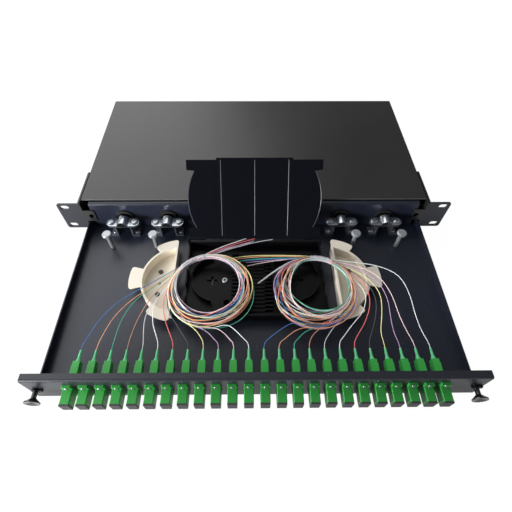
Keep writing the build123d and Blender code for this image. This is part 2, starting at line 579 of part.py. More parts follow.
def clamp_bracket(x):
    """The bridge that carries a cable clamp: a top plate on two legs with turned-out feet."""
    top, steel = CLAMP_PLATE_TOP, CLAMP_STEEL
    plate = clamp_outline(x, top - steel, top)
    y0, y1 = CLAMP_Y - CLAMP_FOOT_DEPTH / 2, CLAMP_Y + CLAMP_FOOT_DEPTH / 2
    bridge = plate
    for side in (-1, 1):
        leg_out = CLAMP_LEG_SPACING / 2
        leg = sorted((x + side * leg_out, x + side * (leg_out - steel)))
        foot = sorted((x + side * leg_out, x + side * (CLAMP_FOOT_SPACING / 2 + CLAMP_FOOT_EDGE)))
        bridge += block(leg[0], leg[1], y0, y1, FLOOR_TOP, top - steel)
        bridge += block(foot[0], foot[1], y0, y1, FLOOR_TOP, FLOOR_TOP + steel)
        bridge -= rod_z(x + side * CLAMP_FOOT_SPACING / 2, CLAMP_Y, SMALL_SCREW_RADIUS + SCREW_GAP,
                        0, top - steel)
        bridge -= rod_z(x + side * CLAMP_SCREW_SPACING / 2, CLAMP_Y, CLAMP_SCREW_RADIUS + SCREW_GAP,
                        top - 2 * steel, top + 1)
    return bridge


def clamp_strap(x):
    """The upper strap: two flat wings and a hump over the cable."""
    steel, outer = CLAMP_STEEL, CLAMP_HUMP_RADIUS
    wings = Pos(0, steel / 2) * Rectangle(CLAMP_WIDTH, steel)
    hump = wings + Circle(outer) - Circle(outer - steel)
    hump -= Pos(0, -outer) * Rectangle(4 * outer, 2 * outer)
    bar = extrude(Plane.XZ * hump, CLAMP_DEPTH / 2, both=True)
    bar = Pos(x, CLAMP_Y, CLAMP_PLATE_TOP) * bar
    strap = bar & clamp_outline(x, CLAMP_PLATE_TOP - 1, CLAMP_PLATE_TOP + 2 * outer)
    holes = [rod_z(x + side * CLAMP_SCREW_SPACING / 2, CLAMP_Y, CLAMP_SCREW_RADIUS + SCREW_GAP,
                   CLAMP_PLATE_TOP - 1, CLAMP_PLATE_TOP + outer) for side in (-1, 1)]
    return strap - holes


def clamp_screws(x):
    """The two strap screws and the two foot screws of one clamp."""
    top = CLAMP_PLATE_TOP + CLAMP_STEEL
    down = (0, 0, -1)
    screws = []
    for side in (-1, 1):
        screws.append(screw(x + side * CLAMP_SCREW_SPACING / 2, CLAMP_Y, top, down, CLAMP_SCREW_RADIUS,
                            CLAMP_SCREW_LENGTH, CLAMP_SCREW_HEAD_RADIUS, CLAMP_SCREW_HEAD_HEIGHT))
        screws.append(screw(x + side * CLAMP_FOOT_SPACING / 2, CLAMP_Y, FLOOR_TOP + CLAMP_STEEL, down,
                            SMALL_SCREW_RADIUS, CLAMP_STEEL + SHEET, SMALL_HEAD_RADIUS, SMALL_HEAD_HEIGHT))
    return screws


def strength_member_bolt(x):
    """An upright bolt that ties down the strength member of the cable beside it."""
    neck = BOLT_TOP - BOLT_HEAD_HEIGHT
    return screw(x, BOLT_Y, neck, (0, 0, -1), BOLT_RADIUS, neck - FLOOR_BOTTOM, BOLT_HEAD_RADIUS,
                 BOLT_HEAD_HEIGHT)


def sector(radius, start, sweep, height):
    """A pie slice about Z, with its angles in degrees."""
    reach = radius * 2
    angles = [math.radians(start + sweep * step / 2) for step in range(3)]
    points = [(0, 0)] + [(reach * math.cos(a), reach * math.sin(a)) for a in angles]
    slice_face = make_face(Polyline(*points, close=True))
    return rod_z(0, 0, radius, 0, height) & extrude(slice_face, height)


def fibre_spool(side):
    """A D-shaped winder: floor, one flat and one round wall, and three tabs turned outwards."""
    depth = SPOOL_FLAT_X - SPOOL_CENTRE_X
    high = 2 * SPOOL_HEIGHT

    def half_disc(radius, flat, height):
        disc = rod_z(0, 0, radius, 0, height)
        return disc & block(flat, 2 * radius, -2 * radius, 2 * radius, -1, height + 1)

    body = half_disc(SPOOL_RADIUS, depth, SPOOL_HEIGHT)
    tab_bottom = SPOOL_HEIGHT - SPOOL_TAB_THICKNESS
    end_start = math.degrees(math.acos(depth / SPOOL_RADIUS)) - SPOOL_END_TAB_ANGLE
    tabs = [
        sector(SPOOL_RADIUS + SPOOL_SIDE_TAB_REACH, -SPOOL_SIDE_TAB_ANGLE / 2, SPOOL_SIDE_TAB_ANGLE,
               SPOOL_TAB_THICKNESS),
        sector(SPOOL_RADIUS + SPOOL_END_TAB_REACH, end_start, 2 * SPOOL_END_TAB_ANGLE, SPOOL_TAB_THICKNESS),
        sector(SPOOL_RADIUS + SPOOL_END_TAB_REACH, -end_start - 2 * SPOOL_END_TAB_ANGLE,
               2 * SPOOL_END_TAB_ANGLE, SPOOL_TAB_THICKNESS),
    ]
    inside = block(depth, 4 * SPOOL_RADIUS, -4 * SPOOL_RADIUS, 4 * SPOOL_RADIUS, 0, high)
    for tab in tabs:
        slab = Pos(0, 0, tab_bottom) * tab & inside
        corners = slab.edges().filter_by(Axis.Z)
        far = [edge for edge in corners if edge.center().X ** 2 + edge.center().Y ** 2 > SPOOL_RADIUS ** 2]
        body += fillet(far, EAR_CORNER_RADIUS)
    well = half_disc(SPOOL_RADIUS - SPOOL_WALL, depth + SPOOL_WALL, high)
    body -= Pos(0, 0, SPOOL_FLOOR) * well
    spool = Pos(SPOOL_CENTRE_X, SPOOL_Y, FLOOR_TOP) * body
    for step in (-1, 0, 1):
        spool -= rod_z(SPOOL_SCREW_X, SPOOL_Y + step * SPOOL_HOLE_PITCH, SPOOL_HOLE_RADIUS, 0,
                       FLOOR_TOP + SPOOL_FLOOR + 1)
    return spool if side > 0 else mirror(spool, Plane.YZ)


def spool_screws():
    seat = FLOOR_TOP + SPOOL_FLOOR
    return [screw(side * SPOOL_SCREW_X, SPOOL_Y + step * SPOOL_HOLE_PITCH, seat, (0, 0, -1),
                  SMALL_SCREW_RADIUS, SPOOL_FLOOR + SHEET, SMALL_HEAD_RADIUS, SMALL_HEAD_HEIGHT)
            for side in (-1, 1) for step in (-1, 1)]


def splice_tray():
    """An open tray on four feet, with a fibre well each side of the splice holder's seat."""
    half = TRAY_WIDTH / 2
    body = block(-half, half, TRAY_FRONT, TRAY_REAR, TRAY_FLOOR, TRAY_TOP)
    front = body.edges().filter_by(Axis.Z).group_by(Axis.Y)[0]
    body = fillet(front, TRAY_CORNER_RADIUS)
    inner = block(-half + TRAY_WALL, half - TRAY_WALL, TRAY_FRONT + TRAY_WALL, TRAY_REAR - TRAY_WALL,
                  TRAY_FLOOR + TRAY_WALL, TRAY_TOP + 1)
    front = inner.edges().filter_by(Axis.Z).group_by(Axis.Y)[0]
    tray = body - fillet(front, TRAY_CORNER_RADIUS - TRAY_WALL)
    for side in (-1, 1):
        tray += well_ring(side * WELL_X)
        tray -= tray_slots(side)
    tray += [rod_z(x, y, FOOT_RADIUS, FLOOR_TOP, TRAY_FLOOR) for x, y in TRAY_SCREWS + tray_corners()]
    tray += hinge_ears()
    holes = [rod_z(x, y, SMALL_SCREW_RADIUS + SCREW_GAP, 0, TRAY_TOP) for x, y in TRAY_SCREWS]
    return tray - holes


def tray_corners():
    """Where the tray's four corner feet stand."""
    inset = TRAY_CORNER_RADIUS + FOOT_RADIUS
    return [(side * (TRAY_WIDTH / 2 - inset), y) for side in (-1, 1)
            for y in (TRAY_FRONT + inset, TRAY_REAR - inset)]


def well_ring(x):
    """The low wall that fibre turns lie against, open on its sides and towards the splice holder."""
    y, z0, z1 = TRAY_MIDDLE, TRAY_FLOOR + TRAY_WALL, TRAY_FLOOR + TRAY_WALL + WELL_HEIGHT
    ring = rod_z(x, y, WELL_RADIUS, z0, z1) - rod_z(x, y, WELL_RADIUS - WELL_WALL, z0 - 1, z1 + 1)
    gap, reach = WELL_GAP / 2, 2 * WELL_RADIUS
    ring -= block(x - reach, x + reach, y - gap, y + gap, z0 - 1, z1 + 1)
    ring -= block(x - gap, x + gap, y - reach, y + reach, z0 - 1, z1 + 1)
    clear = COMB_WIDTH / 2 + COMB_GAP
    return ring - block(COMB_OFFSET - clear, COMB_OFFSET + clear, y - reach, y + reach, z0 - 1, z1 + 1)


def tray_slots(side):
    """One side's cuts: a cross in the floor, and a notch in the side wall near each corner."""
    x, y = side * (WELL_X + TRAY_SCREW_INSET), TRAY_MIDDLE
    half, reach, high = TRAY_SLOT / 2, TRAY_SLOT_LENGTH / 2, TRAY_FLOOR + 2 * TRAY_WALL
    cuts = [block(x - half, x + half, y - reach, y + reach, 0, high),
            block(x - reach, x + reach, y - half, y + half, 0, high)]
    near, far = sorted((side * (TRAY_WIDTH / 2 - 2 * TRAY_WALL), side * TRAY_WIDTH))
    for start in (TRAY_FRONT + 1.5 * TRAY_NOTCH, TRAY_REAR - 2.5 * TRAY_NOTCH):
        cuts.append(block(near, far, start, start + TRAY_NOTCH, TRAY_FLOOR + 2 * TRAY_WALL, TRAY_TOP + 1))
    return cuts


def hinge_ears():
    """The two ears beside the tray that the lid's pins turn in."""
    ears = []
    for side in (-1, 1):
        near, far = sorted((side * (TRAY_WIDTH / 2 - HINGE_EAR_WIDTH / 2),
                            side * (TRAY_WIDTH / 2 + HINGE_EAR_WIDTH / 2)))
        ear = block(near, far, HINGE_Y - HINGE_EAR_RADIUS, HINGE_Y + HINGE_EAR_RADIUS,
                    TRAY_FLOOR, HINGE_HEIGHT)
        ear += rod_x(HINGE_Y, HINGE_HEIGHT, HINGE_EAR_RADIUS, near, far)
        ears.append(ear - rod_x(HINGE_Y, HINGE_HEIGHT, HINGE_PIN_RADIUS + PIVOT_GAP, near - 1, far + 1))
    return ears


def splice_holder():
    """The comb that holds splice sleeves: a base with ribs across it, tall at both ends."""
    z0, half = TRAY_FLOOR + TRAY_WALL, COMB_WIDTH / 2
    pitch = (COMB_LENGTH - COMB_RIB) / COMB_SLOTS
    back = COMB_FRONT + COMB_LENGTH
    comb = block(COMB_OFFSET - half, COMB_OFFSET + half, COMB_FRONT, back, z0, z0 + COMB_BASE)
    for rib in range(COMB_SLOTS + 1):
        y = COMB_FRONT + rib * pitch
        comb += block(COMB_OFFSET - half, COMB_OFFSET + half, y, y + COMB_RIB,
                      z0 + COMB_BASE, z0 + COMB_HEIGHT)
    low = half - COMB_TOOTH
    return comb - block(COMB_OFFSET - low, COMB_OFFSET + low, COMB_FRONT - 1, back + 1,
                        z0 + COMB_BASE + COMB_LOW_RIB, z0 + 2 * COMB_HEIGHT)


def tray_screws():
    """The screws through the tray's floor and its bosses into the drawer's floor."""
    seat = TRAY_FLOOR + TRAY_WALL
    return [screw(x, y, seat, (0, 0, -1), SMALL_SCREW_RADIUS, seat - FLOOR_BOTTOM, TRAY_SCREW_HEAD_RADIUS,
                  SMALL_HEAD_HEIGHT) for x, y in TRAY_SCREWS]


def lid_sheet():
    """The lid's outline: full width at the hinge and the far end, bowed in between."""
    half, low, high = LID_WIDTH / 2, LID_FOOT, LID_SHOULDER
    neck, crown, crown_base = half - LID_BOW, half - LID_CROWN_INSET, LID_LENGTH - LID_CROWN
    right = Polyline((0, 0), (half, 0), (half, low), (neck, low + 1))
    bow = ThreePointArc((neck, low + 1), (half, (low + high) / 2), (neck, high))
    rest = Polyline((neck, high), (half, high + 1), (half, crown_base), (crown, crown_base),
                    (crown, LID_LENGTH), (0, LID_LENGTH))
    side = make_face(right + bow + rest + Line((0, LID_LENGTH), (0, 0)))
    return side + mirror(side, Plane.YZ)


def splice_tray_lid():
    """The hinged sheet over the tray, built shut and then swung open about its pins."""
    sheet = extrude(lid_sheet(), LID_THICKNESS / 2, both=True)
    for x in (-LID_WIDTH / 4, 0, LID_WIDTH / 4):
        sheet += block(x - LID_RIB / 2, x + LID_RIB / 2, LID_KNUCKLE_RADIUS + 1, LID_LENGTH - LID_CROWN,
                       -LID_THICKNESS / 2 - LID_RIB / 2, 0)
    for side in (-1, 1):
        inner, outer = side * (LID_WIDTH / 2 - LID_KNUCKLE_LENGTH), side * LID_WIDTH / 2
        near, far = sorted((inner, outer))
        sheet += rod_x(0, 0, LID_KNUCKLE_RADIUS, near, far)
        near, far = sorted((outer, side * (TRAY_WIDTH / 2 + HINGE_EAR_WIDTH / 2)))
        sheet += rod_x(0, 0, HINGE_PIN_RADIUS, near, far)
    return Pos(0, HINGE_Y, HINGE_HEIGHT) * Rot(180 - LID_OPEN_ANGLE, 0, 0) * sheet


def coil_section(side, grow, z0, z1):
    """The coil's crescent: its outer edge and its hole have different centres."""
    x, y, radius = COILS[side]["outer"]
    hole_x, hole_y, hole_radius = COILS[side]["hole"]
    return rod_z(x, y, radius + grow, z0, z1) - rod_z(hole_x, hole_y, hole_radius - grow, z0 - 1, z1 + 1)


def fibre_coil(side):
    """The outer shape of one loose coil of spare fibre."""
    coil = coil_section(side, 0, COIL_BOTTOM, COIL_TOP)
    rims = coil.edges().filter_by(GeomType.CIRCLE)
    return chamfer(rims, COIL_EDGE_BEVEL)


def coil_sleeve(side):
    """The clear sleeve that holds one coil together."""
    x, y, radius = COILS[side]["outer"]
    start, end = COILS[side]["sleeve"]
    grow = SLEEVE_GAP + SLEEVE_WALL
    slice_shape = Pos(x, y, COIL_BOTTOM - grow) * sector(2 * radius, start, end - start, 2 * COIL_THICKNESS)
    skin = coil_section(side, grow, COIL_BOTTOM - grow, COIL_TOP + grow)
    skin -= coil_section(side, SLEEVE_GAP, COIL_BOTTOM - SLEEVE_GAP, COIL_TOP + SLEEVE_GAP)
    return skin & slice_shape


def fibre(name, points):
    """A six-sided tube along straight runs joined by the largest arcs that the runs allow."""
    corners = [Vector(*point) for point in points]
    runs = [end - start for start, end in zip(corners, corners[1:])]
    radii = []
    for before, after in zip(runs, runs[1:]):
        half_turn = math.radians(before.get_angle(after)) / 2
        radii.append(0.45 * min(before.length, after.length) / math.tan(half_turn))
    path = FilletPolyline(*corners, radius=radii)
    section = Plane(origin=corners[0], z_dir=runs[0]) * RegularPolygon(FIBRE_DIAMETER / 2, 6)
    tube = sweep(section, path=path)
    print(name, f"{path.length:.0f} mm long, {tube.volume / section.area:.0f} by volume, radii",
          [round(radius) for radius in radii])
    return tube


def tail(number):
    """The fibre from one boot to its coil, level all the way."""
    x = PORTS[number]
    flat = [(x, BOOT_END), (x, BOOT_END + TAIL_START)] + TAILS[number]
    return [(x, y, ORIGIN_HEIGHT) for x, y in flat]


os.makedirs("parts", exist_ok=True)

save("housing_shell", housing_shell())
save("base_plate", base_plate())
save("housing_screws", *housing_screws())
save("rack_ear_left", rack_ear(-1))
save("rack_ear_right", rack_ear(1))
save("ear_screws", *ear_screws())

save("drawer_tray", drawer_tray())
save("front_panel", front_panel())
save("adapters", *[adapter(x) for x in PORTS])
save("adapter_screws", *[piece for x in PORTS for piece in adapter_screws(x)])
save("dust_caps", *[dust_cap(x) for x in PORTS])
save("connector_bodies", *[connector_body(x) for x in PORTS])
save("connector_boots", *[boot(x) for x in PORTS])
save("latch_grommets", latch_grommet(-1), latch_grommet(1))
save("latch_plunger_left", latch_plunger(-1))
save("latch_plunger_right", latch_plunger(1))

save("cable_grommets", *[cable_grommet(x) for x in ENTRIES])
save("clamp_brackets", *[clamp_bracket(x) for x in ENTRIES])
save("clamp_straps", *[clamp_strap(x) for x in ENTRIES])
save("clamp_screws", *[piece for x in ENTRIES for piece in clamp_screws(x)])
save("strength_member_bolts", *[strength_member_bolt(x) for x in BOLT_X])

save("fibre_spool_left", fibre_spool(-1))
save("fibre_spool_right", fibre_spool(1))
save("spool_screws", *spool_screws())
save("splice_tray", splice_tray())
save("splice_holder", splice_holder())
save("splice_tray_screws", *tray_screws())
save("splice_tray_lid", splice_tray_lid())

save("fibre_coil_left", fibre_coil("left"))
save("fibre_coil_right", fibre_coil("right"))
save("coil_sleeves", coil_sleeve("left"), coil_sleeve("right"))
for number in range(PORT_COUNT):
    name = f"fibre_tail_{number + 1:02d}"
    save(name, fibre(name, tail(number)))
for name, points in LOOSE_ENDS.items():
    save(name, fibre(name, [(x, y, COIL_TOP - COIL_THICKNESS / 2) for x, y in points]))
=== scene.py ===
"""Looks for a sliding fibre patch and splice drawer, drawn out of its housing with the tray lid open.

Everything is in metres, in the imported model's own frame: the origin is the centre of the rack slots,
X runs to the right, Y back into the rack, Z up. Fibre routes are written in millimetres.
"""
import math
import random

import bmesh
import bpy
from mathutils import Euler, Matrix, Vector, noise


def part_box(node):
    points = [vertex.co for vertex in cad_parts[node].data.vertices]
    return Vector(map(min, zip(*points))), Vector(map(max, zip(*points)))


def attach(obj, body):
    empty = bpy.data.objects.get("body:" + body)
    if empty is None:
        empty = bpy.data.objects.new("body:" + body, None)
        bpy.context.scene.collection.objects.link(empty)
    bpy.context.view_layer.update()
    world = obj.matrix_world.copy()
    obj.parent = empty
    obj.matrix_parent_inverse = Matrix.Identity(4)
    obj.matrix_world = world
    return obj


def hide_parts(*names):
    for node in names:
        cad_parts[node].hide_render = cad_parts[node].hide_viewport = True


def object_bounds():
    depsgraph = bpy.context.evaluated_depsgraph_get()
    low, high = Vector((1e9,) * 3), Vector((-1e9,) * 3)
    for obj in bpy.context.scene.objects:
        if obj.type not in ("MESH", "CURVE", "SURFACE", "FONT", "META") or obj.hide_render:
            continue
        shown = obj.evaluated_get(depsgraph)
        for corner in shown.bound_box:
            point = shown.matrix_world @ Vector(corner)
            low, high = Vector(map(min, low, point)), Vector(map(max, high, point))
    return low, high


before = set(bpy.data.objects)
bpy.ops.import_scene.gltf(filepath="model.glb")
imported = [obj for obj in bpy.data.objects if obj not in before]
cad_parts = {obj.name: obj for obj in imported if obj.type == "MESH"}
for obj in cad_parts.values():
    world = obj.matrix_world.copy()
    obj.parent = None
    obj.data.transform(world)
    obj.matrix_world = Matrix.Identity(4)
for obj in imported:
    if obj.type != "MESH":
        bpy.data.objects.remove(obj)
cad_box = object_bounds()
MM = 0.001

# Camera, solved from the photograph's ears, cover and panel: its place in millimetres, its turn in
# degrees, its frame in pixels, its sensor's width in millimetres, and the nearest thing it sees in metres
CAMERA_PLACE = (-5.97, -322.0, 362.8)
CAMERA_TURN = (36.719, -0.249, -0.513)
PHOTO_SIZE = 512
FOCAL_PIXELS = 381.9
CENTRE_PIXEL = (253.3, 247.0)
SENSOR = 36.0
NEAREST_SEEN = 0.01

# Fibre routes, as in the part's source, in millimetres
PORT_COUNT = 24
PORT_PITCH = 15.0
PORT_HEIGHT = 0.0
BOOT_TIP = -177.3
TAIL_START = 6.0
FIBRE_DIAMETER = 0.9
TAILS = [
    [(-168.5, -162), (-162.5, -145), (-149, -125), (-129.5, -110), (-109.5, -96.5), (-91, -83)],
    [(-154.5, -160.5), (-148.5, -141.5), (-132.5, -120), (-112, -104), (-93, -87)],
    [(-141.5, -161.5), (-139.5, -144), (-130, -122), (-112.5, -105.5), (-95, -92)],
    [(-126, -160), (-122, -141), (-112, -116), (-96, -97)],
    [(-114, -161), (-116, -143.5), (-110.5, -120), (-97, -102)],
    [(-101, -162.5), (-107.5, -147), (-109, -124), (-97, -107)],
    [(-86, -163.5), (-93, -149), (-99.5, -128.5), (-97, -110)],
    [(-72.5, -164.5), (-80.5, -152.5), (-92, -136), (-96, -118)],
    [(-55, -165.5), (-61.5, -156.5), (-70, -150)],
    [(-42, -167), (-49, -159), (-58, -154)],
    [(-26.5, -167), (-33.5, -159), (-42, -154)],
    [(-12.5, -166.5), (-21, -157), (-30, -150)],
    [(14, -165), (26.5, -155.5), (39, -148)],
    [(28.5, -167), (38.5, -158.5), (50, -154)],
    [(41.5, -167.5), (48.5, -160), (57, -156)],
    [(57.5, -162.5), (65, -156)],
    [(73.5, -162.5), (80, -154)],
    [(89, -164), (99.5, -151.5), (115, -135.5), (121, -114), (110, -97)],
    [(103, -163), (113.5, -149), (123.5, -127), (122.5, -103), (107, -88)],
    [(117, -161.5), (125, -144.5), (131, -119.5), (121.5, -96.5), (103, -82)],
    [(126.5, -160), (132.5, -140.5), (137, -113.5), (122.5, -91), (100, -79)],
    [(140, -161.5), (140.5, -144), (143, -120.5), (136, -98), (117.5, -83.5), (97, -76)],
    [(154, -161), (150, -142.5), (148.5, -116.5), (139.5, -92.5), (117.5, -79), (94, -74)],
    [(169, -161), (167, -142), (168, -116), (162.5, -91), (140.5, -78.5), (114.5, -74), (91, -71)],
]

# Free ends: their colour, the node they stand for, their height, and their route
LOOSE_ENDS = {
    "free_fibre_white": ("white", "free_end_white", 1.0,
                         [(-65.5, -68.1), (-58.4, -62.9), (-44.3, -54.3), (-29.6, -47.4), (-6.3, -37.7)]),
    "free_fibre_red": ("red", "free_end_red", 0.4,
                       [(-65.4, -69.1), (-58.2, -63.4), (-42.3, -55), (-21.1, -46.1), (0.2, -39.1)]),
    "free_fibre_violet": ("violet", "free_end_red", -0.6,
                          [(-65, -69.4), (-57.8, -64), (-45.2, -56.9), (-30.8, -51.1), (-4.7, -44.4)]),
    "free_fibre_grey": ("grey", "free_end_white", -1.0,
                        [(-64.9, -70.2), (-57.2, -64.9), (-45.1, -59.6), (-26, -52), (3.8, -42.3),
                         (21.4, -39.4)]),
    "free_fibre_pink": ("pink", "free_end_red", -1.6,
                        [(-65, -70.1), (-57.3, -64.5), (-45.2, -58.3), (-26.1, -49.5), (-1, -41.2)]),
    "crossing_fibre_yellow": ("yellow", "crossing_end_yellow", -2.2,
                              [(67.8, -64.8), (61.3, -63.2), (32.3, -62.1), (3.5, -62.1), (-20, -64),
                               (-31.6, -67.8)]),
    "crossing_fibre_orange": ("orange", "crossing_end_yellow", -2.6,
                              [(67.7, -65.9), (52.7, -64.1), (31.6, -63.1), (7.9, -63.7), (-19.9, -65.8),
                               (-30.3, -70.3)]),
    "crossing_fibre_green": ("green", "crossing_end_yellow", -2.8,
                             [(67.7, -65.9), (47.8, -65.8), (30.3, -65.4), (7.8, -66.3), (-16.4, -68.3),
                              (-26.8, -73.8)]),
    "crossing_fibre_blue": ("blue", "crossing_end_violet", -3.0,
                            [(67.7, -66.5), (46.7, -66.1), (27.4, -66.3), (3.4, -67.4), (-14.1, -69.4)]),
    "crossing_fibre_violet": ("violet", "crossing_end_violet", -3.0,
                              [(67.7, -66.3), (46.6, -66.8), (27.3, -67.7), (3.3, -70.2), (-10.6, -71.7)]),
    "crossing_fibre_pink": ("pink", "crossing_end_violet", -3.2,
                            [(63.1, -66.5), (43.8, -66.2), (22.4, -69.4), (3.3, -72.9), (-9.4, -76.5)]),
    "loose_fibre_white": ("white", "loose_end_white", -1.7,
                          [(65.7, -66.4), (49.2, -67.7), (34.5, -74.7), (17, -87.7), (2.8, -100.5)]),
    "loose_fibre_aqua": ("aqua", "loose_end_white", -2.4,
                         [(65.8, -66.8), (49.2, -68.9), (34.5, -75.9), (16.9, -88.7), (4, -100.1)]),
}

# The coils' outer edge and hole, each a centre and a radius; the way their fibre runs round, 1 for
# anticlockwise from above; their sleeve's two ends, in degrees
COILS = {
    "left": {"outer": (-50.1, -107.1, 48.4), "hole": (-51.7, -101.9, 34.0), "way": -1, "sleeve": (101, 141)},
    "right": {"outer": (65.0, -110.1, 47.4), "hole": (71.7, -102.7, 32.0), "way": 1, "sleeve": (58, 96)},
}

# The turns that a fibre takes and the points of each; the places in a coil's section, in lanes across it
# and layers up it, and the gap that they keep to its top and bottom; the seed of their mixed order
COIL_TURNS = 4
TURN_POINTS = 18
COIL_LANES = 16
COIL_LAYERS = 3
COIL_MARGIN = 0.8
COIL_SEED = 5

# How a fibre goes through its coil: the lane where it comes in and the turns until it is in its own
# place, the share of a turn after which it moves over to its next place, and the gap that the strands
# keep to the coil's edges, as a share of its width
ARRIVAL_LANE = 0.97
ARRIVAL_TURNS = 0.3
MOVE_START = 0.6
COIL_EDGE = 0.04

# How the strands bunch: how far, as a share of the coil's width, in how many waves across it, and how
# much the waves sway round the coil, from which heading
BUNCH_REACH = 0.13
BUNCH_WAVES = 2.6
BUNCH_SWAY = 0.55
BUNCH_HEADING = 0.6

# The bundle inside a sleeve, and how far beyond the sleeve its hold lasts and then fades, in radians
BUNDLE_RADIUS = 2.2
HOLD_BEYOND = 0.15
HOLD_FADE = 0.75

# Turns that stray from their coil: fibre, turn, middle angle and half width in degrees, and how far, as
# a share of the coil's width (below zero is into the hole)
STRAYS = {
    "left": [(2, 0, -38, 60, 0.22), (11, 2, -35, 55, -0.24), (5, 1, 60, 50, 0.10)],
    "right": [(5, 2, 255, 75, -0.55), (1, 1, 175, 40, -0.42), (0, 2, 200, 55, -0.25), (9, 0, 215, 60, 0.12)],
}

# Fibre colours in their order along the panel
FIBRE_COLOURS = {
    "blue": (0.05, 0.18, 0.46), "orange": (0.88, 0.38, 0.20), "green": (0.05, 0.42, 0.26),
    "brown": (0.58, 0.28, 0.17), "grey": (0.60, 0.60, 0.63), "white": (0.94, 0.94, 0.94),
    "red": (0.85, 0.16, 0.16), "black": (0.05, 0.05, 0.06), "yellow": (0.91, 0.80, 0.36),
    "violet": (0.45, 0.29, 0.50), "pink": (0.88, 0.63, 0.67), "aqua": (0.78, 0.92, 0.92),
}


def millimetres(x, y, z):
    """A point given in millimetres, as metres."""
    return Vector((x, y, z)) * MM


def smooth_step(value):
    """0 below 0, 1 above 1, and an even rise between."""
    value = min(1.0, max(0.0, value))
    return value * value * (3 - 2 * value)


def turn_between(first, second):
    """The angle between two headings, in radians, never more than half a turn."""
    return abs((first - second + math.pi) % (2 * math.pi) - math.pi)


# Pieces

def new_piece(name, data, body="drawer"):
    """Put data in the scene as a piece that moves with a body."""
    piece = bpy.data.objects.new(name, data)
    bpy.context.scene.collection.objects.link(piece)
    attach(piece, body)
    return piece


def skin_rings(form, rings):
    """Join rings of corners, each to the next, and cap the first and the last."""
    for near, far in zip(rings, rings[1:]):
        for corner in range(len(near)):
            after = (corner + 1) % len(near)
            form.faces.new((near[corner], near[after], far[after], far[corner]))
    form.faces.new(rings[0])
    form.faces.new(rings[-1][::-1])


def mesh_of(name, form, material):
    """A finished form as a mesh of one material."""
    mesh = bpy.data.meshes.new(name)
    form.to_mesh(mesh)
    form.free()
    mesh.materials.append(material)
    return mesh


def form_piece(name, form, material, body="drawer"):
    """Put a closed form in the scene, its faces turned outwards, as a piece that moves with a body."""
    bmesh.ops.recalc_face_normals(form, faces=form.faces)
    return new_piece(name, mesh_of(name, form, material), body)


# Shader nodes

def new_group(name, inputs, outputs):
    """An empty shader node group. inputs and outputs are names with their sockets' kind."""
    group = bpy.data.node_groups.new(name, "ShaderNodeTree")
    for label, kind in inputs.items():
        group.interface.new_socket(label, in_out="INPUT", socket_type=kind)
    for label, kind in outputs.items():
        group.interface.new_socket(label, in_out="OUTPUT", socket_type=kind)
    return group, group.nodes.new("NodeGroupInput"), group.nodes.new("NodeGroupOutput")


def feed(tree, socket, value):
    """Feed a socket from another node's output, or set it to a plain value."""
    if hasattr(value, "links"):
        tree.links.new(value, socket)
    else:
        socket.default_value = value


def noise_node(tree, place, scale, detail, roughness=0.5):
    """A cloudy pattern, from 0 to 1, at a place on the piece."""
    node = tree.nodes.new("ShaderNodeTexNoise")
    node.inputs["Detail"].default_value = detail
    node.inputs["Roughness"].default_value = roughness
    feed(tree, node.inputs["Vector"], place)
    feed(tree, node.inputs["Scale"], scale)
    return node.outputs["Fac"]


def maths(tree, operation, first, second):
    """The result of one operation on two values."""
    node = tree.nodes.new("ShaderNodeMath")
    node.operation = operation
    for socket, value in zip(node.inputs, (first, second)):
        feed(tree, socket, value)
    return node.outputs[0]


def blend_colours(tree, factor, first, second):
    """The first colour at a factor of 0, the second at 1."""
    node = tree.nodes.new("ShaderNodeMix")
    node.data_type = "RGBA"
    for socket, value in zip((node.inputs[0], node.inputs[6], node.inputs[7]), (factor, first, second)):
        feed(tree, socket, value)
    return node.outputs[2]


# The grain of each kind of surface. The grain has a share in the colour, and the clouds have the rest.

GRAIN_INPUTS = {
    "Place": "NodeSocketVector", "Colour": "NodeSocketColor", "Shade": "NodeSocketColor",
    "Grain Scale": "NodeSocketFloat", "Roughness": "NodeSocketFloat", "Roughness Spread": "NodeSocketFloat",
    "Specks": "NodeSocketFloat",
}
GRAIN_OUTPUTS = {"Colour": "NodeSocketColor", "Roughness": "NodeSocketFloat", "Height": "NodeSocketFloat"}
GRAIN_SHARE = 0.4
GRAIN_NOISE_ROUGHNESS = 0.6
CLOUD_DETAIL = 3.0
SPECK_DETAIL = 1.0
DUST_COLOUR = (0.35, 0.35, 0.36, 1)


def surface_group(name, grain_detail, cloud_scale, speck_scale, speck_level):
    """Grain for a surface: a fine grain for height, soft clouds for colour and roughness, and specks."""
    group, source, sink = new_group(name, GRAIN_INPUTS, GRAIN_OUTPUTS)
    place = source.outputs["Place"]
    grain = noise_node(group, place, source.outputs["Grain Scale"], grain_detail, GRAIN_NOISE_ROUGHNESS)
    cloud = noise_node(group, place, cloud_scale, CLOUD_DETAIL)
    mixed = maths(group, "ADD", maths(group, "MULTIPLY", grain, GRAIN_SHARE),
                  maths(group, "MULTIPLY", cloud, 1 - GRAIN_SHARE))
    coloured = blend_colours(group, mixed, source.outputs["Colour"], source.outputs["Shade"])
    speck = maths(group, "GREATER_THAN", noise_node(group, place, speck_scale, SPECK_DETAIL), speck_level)
    dust = maths(group, "MULTIPLY", speck, source.outputs["Specks"])
    group.links.new(blend_colours(group, dust, coloured, DUST_COLOUR), sink.inputs["Colour"])
    centred = maths(group, "SUBTRACT", mixed, 0.5)
    spread = maths(group, "MULTIPLY", centred, source.outputs["Roughness Spread"])
    group.links.new(maths(group, "ADD", source.outputs["Roughness"], spread), sink.inputs["Roughness"])
    group.links.new(grain, sink.inputs["Height"])
    return group


